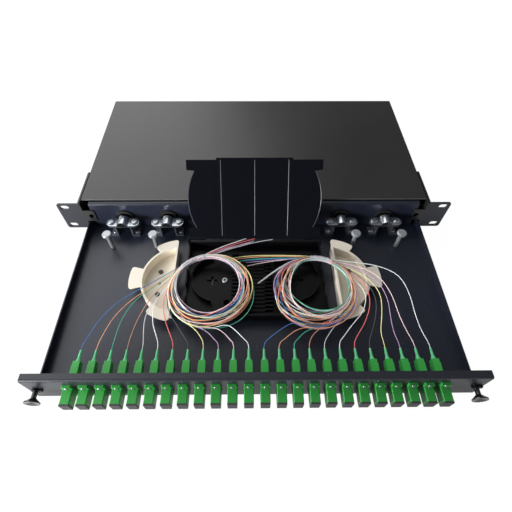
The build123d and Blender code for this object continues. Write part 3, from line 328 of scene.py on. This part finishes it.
POWDER_COAT = surface_group("powder_coat_grain", grain_detail=2.0, cloud_scale=18.0,
                            speck_scale=700.0, speck_level=0.755)
MOULDED = surface_group("moulded_grain", grain_detail=4.0, cloud_scale=60.0,
                        speck_scale=900.0, speck_level=0.78)
PLATED = surface_group("plated_grain", grain_detail=6.0, cloud_scale=120.0,
                       speck_scale=1200.0, speck_level=0.74)

# Materials

GRAIN_DEPTH = 0.2 * MM


def finish(name, group, colour, shade, roughness, spread, grain_scale, bump, metallic=0.0, alpha=1.0,
           coat=0.0, specks=0.0, gloss=0.5):
    """A material: the group's colour, roughness and height on one Principled shader."""
    material = bpy.data.materials.new(name)
    material.use_nodes = True
    tree = material.node_tree
    shader = tree.nodes["Principled BSDF"]
    grain = tree.nodes.new("ShaderNodeGroup")
    grain.node_tree = group
    grain_values = {"Colour": (*colour, 1), "Shade": (*shade, 1), "Grain Scale": grain_scale,
                    "Roughness": roughness, "Roughness Spread": spread, "Specks": specks}
    for label, value in grain_values.items():
        grain.inputs[label].default_value = value
    place = tree.nodes.new("ShaderNodeTexCoord")
    tree.links.new(place.outputs["Object"], grain.inputs["Place"])
    tree.links.new(grain.outputs["Colour"], shader.inputs["Base Color"])
    tree.links.new(grain.outputs["Roughness"], shader.inputs["Roughness"])
    relief = tree.nodes.new("ShaderNodeBump")
    relief.inputs["Strength"].default_value = bump
    relief.inputs["Distance"].default_value = GRAIN_DEPTH
    tree.links.new(grain.outputs["Height"], relief.inputs["Height"])
    tree.links.new(relief.outputs["Normal"], shader.inputs["Normal"])
    shader_values = {"Metallic": metallic, "Alpha": alpha, "Coat Weight": coat, "Specular IOR Level": gloss}
    for label, value in shader_values.items():
        shader.inputs[label].default_value = value
    return material


def dress(material, *nodes):
    """Give CAD nodes a material."""
    for node in nodes:
        slots = bpy.data.objects[node].data.materials
        slots.clear()
        slots.append(material)


# What the three coats of powder share
COAT_VALUES = {"roughness": 0.36, "spread": 0.12, "grain_scale": 1500.0, "bump": 0.3, "specks": 0.22}

powder_coat = finish(
    "black_powder_coat", POWDER_COAT, colour=(0.012, 0.014, 0.021), shade=(0.020, 0.022, 0.030),
    **COAT_VALUES)
cover_coat = finish(
    "neutral_powder_coat", POWDER_COAT, colour=(0.0155, 0.0148, 0.0145), shade=(0.0240, 0.0228, 0.0220),
    **COAT_VALUES)
drawer_coat = finish(
    "bluish_powder_coat", POWDER_COAT, colour=(0.009, 0.012, 0.024), shade=(0.016, 0.019, 0.034),
    **COAT_VALUES)
# Painted shade: a near-black colour for the recesses in the tray screws' heads
recess_painted_shade = finish(
    "recess_painted_shade", PLATED, colour=(0.008, 0.008, 0.008), shade=(0.014, 0.013, 0.012),
    roughness=0.6, spread=0.1, grain_scale=700.0, bump=0.1)
black_screw = finish(
    "blackened_screw", PLATED, colour=(0.02, 0.02, 0.022), shade=(0.035, 0.035, 0.04),
    roughness=0.35, spread=0.2, grain_scale=900.0, bump=0.1, metallic=0.6)
zinc = finish(
    "bright_zinc_plate", PLATED, colour=(0.62, 0.65, 0.69), shade=(0.34, 0.37, 0.41),
    roughness=0.22, spread=0.3, grain_scale=420.0, bump=0.35, metallic=0.92)
bolt_zinc = finish(
    "bolt_zinc_plate", PLATED, colour=(0.44, 0.46, 0.48), shade=(0.26, 0.28, 0.30),
    roughness=0.36, spread=0.3, grain_scale=380.0, bump=0.4, metallic=0.55)
# Painted shade: a darker copy of the plated screw finish, used on the spool screws
painted_shade_screw = finish(
    "shaded_screw", PLATED, colour=(0.03, 0.028, 0.025), shade=(0.06, 0.055, 0.05),
    roughness=0.5, spread=0.2, grain_scale=700.0, bump=0.1, metallic=0.4)
adapter_green = finish(
    "adapter_green", MOULDED, colour=(0.024, 0.255, 0.036), shade=(0.036, 0.305, 0.055),
    roughness=0.36, spread=0.12, grain_scale=700.0, bump=0.08, gloss=0.35)
connector_green = finish(
    "connector_green", MOULDED, colour=(0.04, 0.42, 0.06), shade=(0.065, 0.50, 0.095),
    roughness=0.34, spread=0.12, grain_scale=700.0, bump=0.08, gloss=0.4)
boot_green = finish(
    "boot_green", MOULDED, colour=(0.10, 0.55, 0.23), shade=(0.16, 0.66, 0.31),
    roughness=0.5, spread=0.12, grain_scale=500.0, bump=0.15)
cap_grey = finish(
    "cap_grey", MOULDED, colour=(0.034, 0.033, 0.034), shade=(0.055, 0.053, 0.055),
    roughness=0.5, spread=0.1, grain_scale=600.0, bump=0.12, gloss=0.25)
black_plastic = finish(
    "black_moulding", MOULDED, colour=(0.0025, 0.0025, 0.0035), shade=(0.006, 0.0055, 0.0065),
    roughness=0.42, spread=0.15, grain_scale=900.0, bump=0.12, gloss=0.15)
rubber = finish(
    "black_rubber", MOULDED, colour=(0.006, 0.006, 0.006), shade=(0.012, 0.012, 0.012),
    roughness=0.6, spread=0.1, grain_scale=500.0, bump=0.2)
ivory = finish(
    "ivory_moulding", MOULDED, colour=(0.78, 0.71, 0.59), shade=(0.83, 0.77, 0.66),
    roughness=0.42, spread=0.12, grain_scale=500.0, bump=0.08)
smoky = finish(
    "smoky_sheet", MOULDED, colour=(0.001, 0.002, 0.005), shade=(0.003, 0.003, 0.006),
    roughness=0.2, spread=0.05, grain_scale=400.0, bump=0.03, alpha=0.95, gloss=0.25)
clear_sleeve = finish(
    "clear_sleeve", MOULDED, colour=(0.50, 0.47, 0.51), shade=(0.78, 0.73, 0.78),
    roughness=0.14, spread=0.1, grain_scale=300.0, bump=0.35, alpha=0.85)
# Painted highlights: lighter colours for the strips along the lid's creases and cut edges, where they catch
# the light
crease_painted_highlight = finish(
    "crease_painted_highlight", MOULDED, colour=(0.035, 0.04, 0.05), shade=(0.065, 0.07, 0.08),
    roughness=0.3, spread=0.1, grain_scale=500.0, bump=0.05)
cut_edge_painted_highlight = finish(
    "cut_edge_painted_highlight", MOULDED, colour=(0.045, 0.05, 0.06), shade=(0.08, 0.085, 0.10),
    roughness=0.22, spread=0.1, grain_scale=500.0, bump=0.05)
# Painted highlight: a lighter coat for the bead along the cover's front edge, where the cut edge catches the
# light
edge_painted_highlight = finish(
    "cover_edge_painted_highlight", POWDER_COAT, colour=(0.10, 0.10, 0.105), shade=(0.16, 0.155, 0.15),
    roughness=0.4, spread=0.2, grain_scale=900.0, bump=0.2)
knob_black = finish(
    "polished_black_knob", MOULDED, colour=(0.010, 0.010, 0.012), shade=(0.018, 0.018, 0.02),
    roughness=0.16, spread=0.08, grain_scale=600.0, bump=0.04, coat=0.6)


# Camera

def photo_camera():
    """The camera at the photograph's place, with its frame."""
    data = bpy.data.cameras.new("photo_camera")
    data.sensor_width = SENSOR
    data.lens = FOCAL_PIXELS / PHOTO_SIZE * SENSOR
    data.shift_x = (PHOTO_SIZE / 2 - CENTRE_PIXEL[0]) / PHOTO_SIZE
    data.shift_y = (CENTRE_PIXEL[1] - PHOTO_SIZE / 2) / PHOTO_SIZE
    data.clip_start = NEAREST_SEEN
    camera = bpy.data.objects.new("photo_camera", data)
    camera.location = millimetres(*CAMERA_PLACE)
    camera.rotation_euler = Euler([math.radians(angle) for angle in CAMERA_TURN])
    bpy.context.scene.collection.objects.link(camera)
    bpy.context.scene.camera = camera


# Fibres

PALE_GAIN = 1.2
PALE_LIFT = 0.02


def fibre_material(colour):
    """A fibre's coloured jacket, with paler clouds in it."""
    rgb = FIBRE_COLOURS[colour]
    pale = tuple(min(1.0, value * PALE_GAIN + PALE_LIFT) for value in rgb)
    return finish(f"fibre_jacket_{colour}", MOULDED, colour=rgb, shade=pale,
                  roughness=0.4, spread=0.15, grain_scale=300.0, bump=0.05)


FIBRES = {colour: fibre_material(colour) for colour in FIBRE_COLOURS}
COLOUR_ORDER = list(FIBRE_COLOURS)


def fibre_curve(name, points, colour):
    """One fibre as a smooth curve through its route.

    A curve's box grows by its points' radius, so that is a millimetre and the bevel depth is in millimetres.
    """
    curve = bpy.data.curves.new(name, "CURVE")
    curve.dimensions = "3D"
    curve.bevel_depth = FIBRE_DIAMETER / 2
    curve.bevel_resolution = 1
    curve.resolution_u = 4
    curve.use_fill_caps = True
    spline = curve.splines.new("NURBS")
    spline.points.add(len(points) - 1)
    for slot, point in zip(spline.points, points):
        slot.co = (*(Vector(point) * MM), 1)
        slot.radius = MM
    spline.order_u = 3
    spline.use_endpoint_u = True
    curve.materials.append(FIBRES[colour])
    piece = new_piece(name, curve)
    return piece


def curve_length(piece):
    """The length of a curve's own line, in metres."""
    depth, piece.data.bevel_depth = piece.data.bevel_depth, 0
    caps, piece.data.use_fill_caps = piece.data.use_fill_caps, False
    line = bpy.data.meshes.new_from_object(piece)
    length = sum((line.vertices[edge.vertices[0]].co - line.vertices[edge.vertices[1]].co).length
                 for edge in line.edges)
    bpy.data.meshes.remove(line)
    piece.data.bevel_depth = depth
    piece.data.use_fill_caps = caps
    return length


def coil_levels(side):
    """The heights of the coil's lowest and highest strands, in millimetres."""
    low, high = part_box(f"fibre_coil_{side}")
    return low[2] / MM + COIL_MARGIN, high[2] / MM - COIL_MARGIN


def coil_place(side, share, angle):
    """A point between the coil's hole, at a share of 0, and its outer edge, at 1."""
    outer_x, outer_y, outer_radius = COILS[side]["outer"]
    hole_x, hole_y, hole_radius = COILS[side]["hole"]
    radius = hole_radius + (outer_radius - hole_radius) * share
    return (hole_x + (outer_x - hole_x) * share + radius * math.cos(angle),
            hole_y + (outer_y - hole_y) * share + radius * math.sin(angle))


def coil_width(side, angle):
    """How wide the coil is at an angle, from its hole to its outer edge."""
    inner, outer = Vector(coil_place(side, 0, angle)), Vector(coil_place(side, 1, angle))
    return (outer - inner).length


def sleeve_span(side):
    """The angles of the coil's sleeve's two ends, in radians."""
    return [math.radians(angle) for angle in COILS[side]["sleeve"]]


def sleeve_hold(side, angle):
    """How tightly the sleeve gathers the strands at an angle: 1 inside it, 0 well clear of it."""
    start, end = sleeve_span(side)
    beyond = turn_between(angle, (start + end) / 2) - (end - start) / 2
    return 1 - smooth_step((beyond - HOLD_BEYOND) / HOLD_FADE)


def strand_place(side, angle, lane, layer, stray):
    """Where a strand lies at an angle. lane runs from 0, the hole, to 1; layer from -1 to 1."""
    hold = sleeve_hold(side, angle)
    wave = BUNCH_WAVES * lane + BUNCH_SWAY * math.sin(angle - BUNCH_HEADING)
    bunch = BUNCH_REACH * (1 - hold) * math.sin(2 * math.pi * wave)
    share = COIL_EDGE + (1 - 2 * COIL_EDGE) * min(1.0, max(0.0, lane + bunch)) + stray
    across = (2 * lane - 1) * math.sqrt(1 - layer * layer / 2)
    gathered = 0.5 + across * BUNDLE_RADIUS / coil_width(side, angle)
    share += (gathered - share) * hold
    low, high = coil_levels(side)
    middle, half = (low + high) / 2, (high - low) / 2
    height = middle + layer * (half + (BUNDLE_RADIUS - half) * hold)
    return (*coil_place(side, share, angle), height)


def stray_share(side, fibre, turn, angle):
    """How far a fibre strays from its lane at an angle of one of its turns."""
    for which, when, middle, width, reach in STRAYS[side]:
        if (which, when) == (fibre, turn):
            away = turn_between(angle, math.radians(middle)) / math.radians(width)
            return reach * (1 - smooth_step(away))
    return 0.0


def coil_points(side, start, fibre, cells):
    """One fibre's turns, from where its tail meets the coil to its end inside the sleeve.

    cells holds a lane and a layer for each turn, and the fibre moves from one to the next as it goes.
    """
    outer_x, outer_y = COILS[side]["outer"][:2]
    way = COILS[side]["way"]
    first = math.atan2(start[1] - outer_y, start[0] - outer_x)
    last = math.radians(sum(COILS[side]["sleeve"]) / 2)
    sweep = (way * (last - first)) % (2 * math.pi) + (COIL_TURNS - 1) * 2 * math.pi
    steps = round(sweep / (2 * math.pi) * TURN_POINTS)
    points = []
    for step in range(1, steps + 1):
        turns = step / steps * sweep / (2 * math.pi)
        angle = first + way * turns * 2 * math.pi
        turn = min(int(turns), COIL_TURNS - 1)
        change = smooth_step((turns - turn - MOVE_START) / (1 - MOVE_START)) if turn < COIL_TURNS - 1 else 0.0
        lane, layer = [near + (far - near) * change
                       for near, far in zip(cells[turn], cells[min(turn + 1, COIL_TURNS - 1)])]
        arrive = smooth_step(turns / ARRIVAL_TURNS)
        lane = ARRIVAL_LANE + (lane - ARRIVAL_LANE) * arrive
        points.append(strand_place(side, angle, lane, layer * arrive, stray_share(side, fibre, turn, angle)))
    return points


def coil_cells(draw):
    """A place in the coil's section for each turn of each fibre, in a mixed order."""
    cells = [(lane / (COIL_LANES - 1), 2 * layer / (COIL_LAYERS - 1) - 1)
             for lane in range(COIL_LANES) for layer in range(COIL_LAYERS)]
    draw.shuffle(cells)
    return cells


def fibre_tails():
    """The tails from the boots, each with its turns in the coil."""
    draw = random.Random(COIL_SEED)
    cells = {side: coil_cells(draw) for side in COILS}
    for number, route in enumerate(TAILS):
        side = "left" if number < PORT_COUNT / 2 else "right"
        fibre = number % (PORT_COUNT // 2)
        x = (number - (PORT_COUNT - 1) / 2) * PORT_PITCH
        points = [(x, BOOT_TIP, PORT_HEIGHT), (x, BOOT_TIP + TAIL_START, PORT_HEIGHT)]
        points += [(*place, PORT_HEIGHT) for place in route]
        own_cells = cells[side][fibre * COIL_TURNS:(fibre + 1) * COIL_TURNS]
        points += coil_points(side, route[-1], fibre, own_cells)
        name = f"fibre_{number + 1:02d}"
        piece = fibre_curve(name, points, COLOUR_ORDER[fibre])
        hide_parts(f"fibre_tail_{number + 1:02d}", f"fibre_coil_{side}")
        curve_length(piece)


def loose_ends():
    """The fibre ends that lie free beside the coils."""
    for name, (colour, node, height, route) in LOOSE_ENDS.items():
        points = [(*place, height) for place in route]
        piece = fibre_curve(name, points, colour)
        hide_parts(node)
        curve_length(piece)


# Sleeves, in millimetres. The scales, the shift and the twist place the folds and creases of their skin.

SLEEVE_RADIUS = 3.2
SLEEVE_WALL = 0.25
SLEEVE_SIDES = 28
SLEEVE_RINGS = 60
CRUMPLE_DEPTH = 0.28
FOLD_SCALE = 0.55
FOLD_SHIFT = Vector((7, 3, 1))
CREASE_SCALE = 0.5
CREASE_TWIST = 0.6


def sleeve_ring(side, angle, radius):
    """One ring of a sleeve's skin, crumpled a little."""
    low, high = coil_levels(side)
    x, y = coil_place(side, 0.5, angle)
    middle = Vector((x, y, (low + high) / 2))
    outward = Vector((math.cos(angle), math.sin(angle), 0))
    ring = []
    for corner in range(SLEEVE_SIDES):
        turn = 2 * math.pi * corner / SLEEVE_SIDES
        arm = outward * math.cos(turn) + Vector((0, 0, math.sin(turn)))
        fold = noise.noise((middle + arm * radius) * FOLD_SCALE + FOLD_SHIFT)
        crease = abs(noise.noise(Vector((x * CREASE_SCALE, y * CREASE_SCALE, turn * CREASE_TWIST))))
        ring.append((middle + arm * (radius + CRUMPLE_DEPTH * (fold - crease))) * MM)
    return ring


def coil_sleeve(side):
    """A short clear tube that gathers a coil's strands, open at both ends."""
    start, end = sleeve_span(side)
    skin = bmesh.new()
    shells = []
    for radius in (SLEEVE_RADIUS, SLEEVE_RADIUS - SLEEVE_WALL):
        rings = [sleeve_ring(side, start + (end - start) * step / (SLEEVE_RINGS - 1), radius)
                 for step in range(SLEEVE_RINGS)]
        shells.append([[skin.verts.new(point) for point in ring] for ring in rings])
    outside, inside = shells
    for corner in range(SLEEVE_SIDES):
        after = (corner + 1) % SLEEVE_SIDES
        for near, far in zip(outside, outside[1:]):
            skin.faces.new((near[corner], near[after], far[after], far[corner]))
        for near, far in zip(inside, inside[1:]):
            skin.faces.new((near[corner], far[corner], far[after], near[after]))
        for outer, inner in ((outside[0], inside[0]), (inside[-1], outside[-1])):
            skin.faces.new((outer[corner], inner[corner], inner[after], outer[after]))
    piece = form_piece(f"coil_sleeve_{side}", skin, clear_sleeve)
    piece.data.polygons.foreach_set("use_smooth", [True] * len(piece.data.polygons))
    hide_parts("coil_sleeves")


# The lid's creases and cut edges, drawn as lighter strips of painted highlight, in the open lid's own plane.
# A line's section runs from side to side, as shares of half its width and of its height; a crease's reach is
# from the hinge.

LID_HINGE = (0, -40.4, 2.3)
LID_SLOPE = 54
LID_FACE = 0.4
LID_WIDTH = 155.0
LID_NECK = 69.2
LID_BOW_ENDS = (14.0, 80.0)
LINE_PROUD = 0.14
LINE_SECTION = ((-1, 0), (-0.55, 0.8), (0, 1), (0.55, 0.8), (1, 0))
CREASE_WIDTH = 0.8
CREASE_REACH = (4, 92)
CREASE_STEP = 4
EDGE_WIDTH = 0.7
BOW_STEPS = 24


def lid_point(across, along, height):
    """A point of the open lid: across it, along it from the hinge, and above its near face."""
    slope = math.radians(LID_SLOPE)
    height += LID_FACE
    return millimetres(LID_HINGE[0] + across,
                       LID_HINGE[1] + along * math.cos(slope) - height * math.sin(slope),
                       LID_HINGE[2] + along * math.sin(slope) + height * math.cos(slope))


def lid_line(name, route, width, material):
    """A low crowned strip on the lid's near face. route is its middle, as places across and along."""
    strip = bmesh.new()
    rings = []
    for step, (across, along) in enumerate(route):
        near, far = route[max(step - 1, 0)], route[min(step + 1, len(route) - 1)]
        heading = Vector((far[0] - near[0], far[1] - near[1])).normalized()
        aside = Vector((heading[1], -heading[0])) * width / 2
        rings.append([strip.verts.new(lid_point(across + aside[0] * share, along + aside[1] * share,
                                                LINE_PROUD * rise)) for share, rise in LINE_SECTION])
    skin_rings(strip, rings)
    piece = form_piece(name, strip, material, "tray_lid")


def lid_bow():
    """The lid's bowed right edge, as places across and along, a little inside its cut."""
    low, high = LID_BOW_ENDS
    half_chord, rise = (high - low) / 2, LID_WIDTH / 2 - LID_NECK
    radius = (half_chord ** 2 + rise ** 2) / (2 * rise)
    reach = math.asin(half_chord / radius)
    bow = []
    for step in range(BOW_STEPS + 1):
        angle = reach * (2 * step / BOW_STEPS - 1)
        across = LID_WIDTH / 2 - radius + radius * math.cos(angle) - EDGE_WIDTH / 2
        bow.append((across, (low + high) / 2 + radius * math.sin(angle)))
    return bow


def lid_lines():
    """Three creases up the sheet, and the cut edges at its two bowed sides, as strips of painted highlight.
    """
    start, end = CREASE_REACH
    for name, across in (("left", -LID_WIDTH / 4), ("middle", 0), ("right", LID_WIDTH / 4)):
        route = [(across, along) for along in range(start, end + 1, CREASE_STEP)]
        lid_line(f"lid_crease_{name}", route, CREASE_WIDTH, crease_painted_highlight)
    for name, side in (("left", -1), ("right", 1)):
        route = [(side * across, along) for across, along in lid_bow()]
        lid_line(f"lid_edge_{name}", route, EDGE_WIDTH, cut_edge_painted_highlight)


# The recess in the head of each tray screw, drawn as a dark cross of painted shade: a rim with a tip at the
# end of each arm.
# Its levels are a height above the head and a share of its full width.

SCREW_HEAD_RADIUS = 3.4
RECESS_RADIUS = 1.5
RECESS_TIP = 0.35
RECESS_ARMS = 4
RECESS_CORNERS = 12
RECESS_LEVELS = ((-0.1, 1.0), (0.03, 0.96))


def screw_recesses():
    """A dark cross of painted shade on each tray screw's head, where a driver goes in."""
    low, high = [Vector(point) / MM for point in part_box("splice_tray_screws")]
    middle_y = (low[1] + high[1]) / 2
    crosses = bmesh.new()
    for x in (low[0] + SCREW_HEAD_RADIUS, high[0] - SCREW_HEAD_RADIUS):
        rims = []
        for rise, share in RECESS_LEVELS:
            rim = []
            for corner in range(RECESS_CORNERS):
                turn = math.radians(360 / RECESS_CORNERS * corner)
                tip = 0 if corner % (RECESS_CORNERS // RECESS_ARMS) else RECESS_TIP
                radius = (RECESS_RADIUS + tip) * share
                rim.append(crosses.verts.new(millimetres(
                    x + radius * math.cos(turn), middle_y + radius * math.sin(turn), high[2] + rise)))
            rims.append(rim)
        skin_rings(crosses, rims)
    piece = form_piece("tray_screw_recesses", crosses, recess_painted_shade)


# The light line along the cover's front edge, a painted highlight where the cut edge of the sheet catches the
# light.
# Its section is given as shares of how far it stands out and of half the sheet's thickness.

COVER_SETBACK = 7.5
COVER_SHEET = 1.2
EDGE_PROUD = 0.12
EDGE_SECTION = ((0.05, -0.95), (-0.6, -0.8), (-1, -0.3), (-1, 0.3), (-0.6, 0.8), (0.05, 0.95))


def cover_edge():
    """A low bead of painted highlight on the cut edge of the cover, between its two sides."""
    low, high = [Vector(point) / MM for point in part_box("housing_shell")]
    front, top, reach = low[1] + COVER_SETBACK, high[2], high[0] - COVER_SHEET
    half_sheet = COVER_SHEET / 2
    section = [(front + EDGE_PROUD * out, top + half_sheet * (rise - 1)) for out, rise in EDGE_SECTION]
    bead = bmesh.new()
    skin_rings(bead, [[bead.verts.new(millimetres(x, y, z)) for y, z in section] for x in (-reach, reach)])
    piece = form_piece("cover_front_edge", bead, edge_painted_highlight, "housing")


# Floor and light

WHITE = (1, 1, 1, 1)
FLOOR_SIZE = 4.0
FLOOR_GAP = 0.3 * MM
FLOOR_COLOUR = (0.6, 0.6, 0.6, 1)
FLOOR_ROUGHNESS = 0.9
FLOOR_GLOW = 1.08
FLOOR_WHITE_SHARE = 0.9
FLOOR_MIRRORED_SHARE = 0.3
WORLD_TINT = (0.94, 0.97, 1.0, 1)
WORLD_STRENGTH = 0.22

# Each lamp's place, where it points and its size, in metres, and its power, in watts
SOFTBOXES = {
    "back_left_softbox": {"place": (-0.95, 1.05, 1.2), "target": (0.1, 0, 0),
                          "size": (2.4, 1.8), "power": 32},
    "low_left_softbox": {"place": (-0.62, -0.5, 0.16), "target": (-0.15, -0.2, 0),
                         "size": (0.35, 0.22), "power": 10},
}


def floor_material():
    """White where the camera, a reflection or a clear piece shows it, with the object's shadow kept."""
    material = bpy.data.materials.new("white_floor")
    material.use_nodes = True
    tree = material.node_tree
    shader = tree.nodes["Principled BSDF"]
    shader.inputs["Base Color"].default_value = FLOOR_COLOUR
    shader.inputs["Roughness"].default_value = FLOOR_ROUGHNESS
    shader.inputs["Specular IOR Level"].default_value = 0.0
    glow = tree.nodes.new("ShaderNodeEmission")
    glow.inputs["Color"].default_value = WHITE
    glow.inputs["Strength"].default_value = FLOOR_GLOW
    light_path = tree.nodes.new("ShaderNodeLightPath")
    mirrored = maths(tree, "MULTIPLY", light_path.outputs["Is Glossy Ray"], FLOOR_MIRRORED_SHARE)
    seen = maths(tree, "ADD", light_path.outputs["Is Camera Ray"], mirrored)
    seen = maths(tree, "ADD", seen, light_path.outputs["Is Transmission Ray"])
    share = maths(tree, "MULTIPLY", seen, FLOOR_WHITE_SHARE)
    mix = tree.nodes.new("ShaderNodeMixShader")
    tree.links.new(share, mix.inputs[0])
    tree.links.new(shader.outputs[0], mix.inputs[1])
    tree.links.new(glow.outputs[0], mix.inputs[2])
    tree.links.new(mix.outputs[0], tree.nodes["Material Output"].inputs["Surface"])
    return material


def floor():
    """A plain floor just under the object."""
    plane = bmesh.new()
    bmesh.ops.create_grid(plane, x_segments=1, y_segments=1, size=FLOOR_SIZE)
    ground = bpy.data.objects.new("floor", mesh_of("floor", plane, floor_material()))
    ground.location.z = cad_box[0][2] - FLOOR_GAP
    bpy.context.scene.collection.objects.link(ground)


def softbox(name, place, target, size, power):
    """An oblong soft lamp that points at a target."""
    data = bpy.data.lights.new(name, "AREA")
    data.shape = "RECTANGLE"
    data.size, data.size_y = size
    data.energy = power
    lamp = bpy.data.objects.new(name, data)
    lamp.location = place
    lamp.rotation_euler = (Vector(target) - Vector(place)).to_track_quat("-Z", "Y").to_euler()
    bpy.context.scene.collection.objects.link(lamp)


def world_light():
    """A dim, cool light from all round, with white behind the object."""
    world = bpy.data.worlds.new("studio")
    world.use_nodes = True
    tree = world.node_tree
    dim = tree.nodes["Background"]
    dim.inputs["Color"].default_value = WORLD_TINT
    dim.inputs["Strength"].default_value = WORLD_STRENGTH
    white = tree.nodes.new("ShaderNodeBackground")
    white.inputs["Color"].default_value = WHITE
    light_path = tree.nodes.new("ShaderNodeLightPath")
    mix = tree.nodes.new("ShaderNodeMixShader")
    tree.links.new(light_path.outputs["Is Camera Ray"], mix.inputs[0])
    tree.links.new(dim.outputs[0], mix.inputs[1])
    tree.links.new(white.outputs[0], mix.inputs[2])
    tree.links.new(mix.outputs[0], tree.nodes["World Output"].inputs["Surface"])
    bpy.context.scene.world = world


# The scene

photo_camera()
fibre_tails()
loose_ends()
for coil in COILS:
    coil_sleeve(coil)
lid_lines()
cover_edge()
screw_recesses()
dress(cover_coat, "housing_shell")
dress(powder_coat, "base_plate", "rack_ear_left", "rack_ear_right", "front_panel")
dress(drawer_coat, "drawer_tray")
dress(black_screw, "housing_screws", "ear_screws")
dress(zinc, "clamp_brackets", "clamp_straps", "clamp_screws", "adapter_screws")
dress(bolt_zinc, "strength_member_bolts", "splice_tray_screws")
dress(painted_shade_screw, "spool_screws")
dress(adapter_green, "adapters")
dress(connector_green, "connector_bodies")
dress(boot_green, "connector_boots")
dress(cap_grey, "dust_caps")
dress(black_plastic, "latch_grommets", "splice_tray", "splice_holder")
dress(knob_black, "latch_plunger_left", "latch_plunger_right")
dress(rubber, "cable_grommets")
dress(ivory, "fibre_spool_left", "fibre_spool_right")
dress(smoky, "splice_tray_lid")
floor()
world_light()
for lamp_name, lamp_values in SOFTBOXES.items():
    softbox(lamp_name, **lamp_values)
bpy.context.scene.view_settings.view_transform = "Standard"
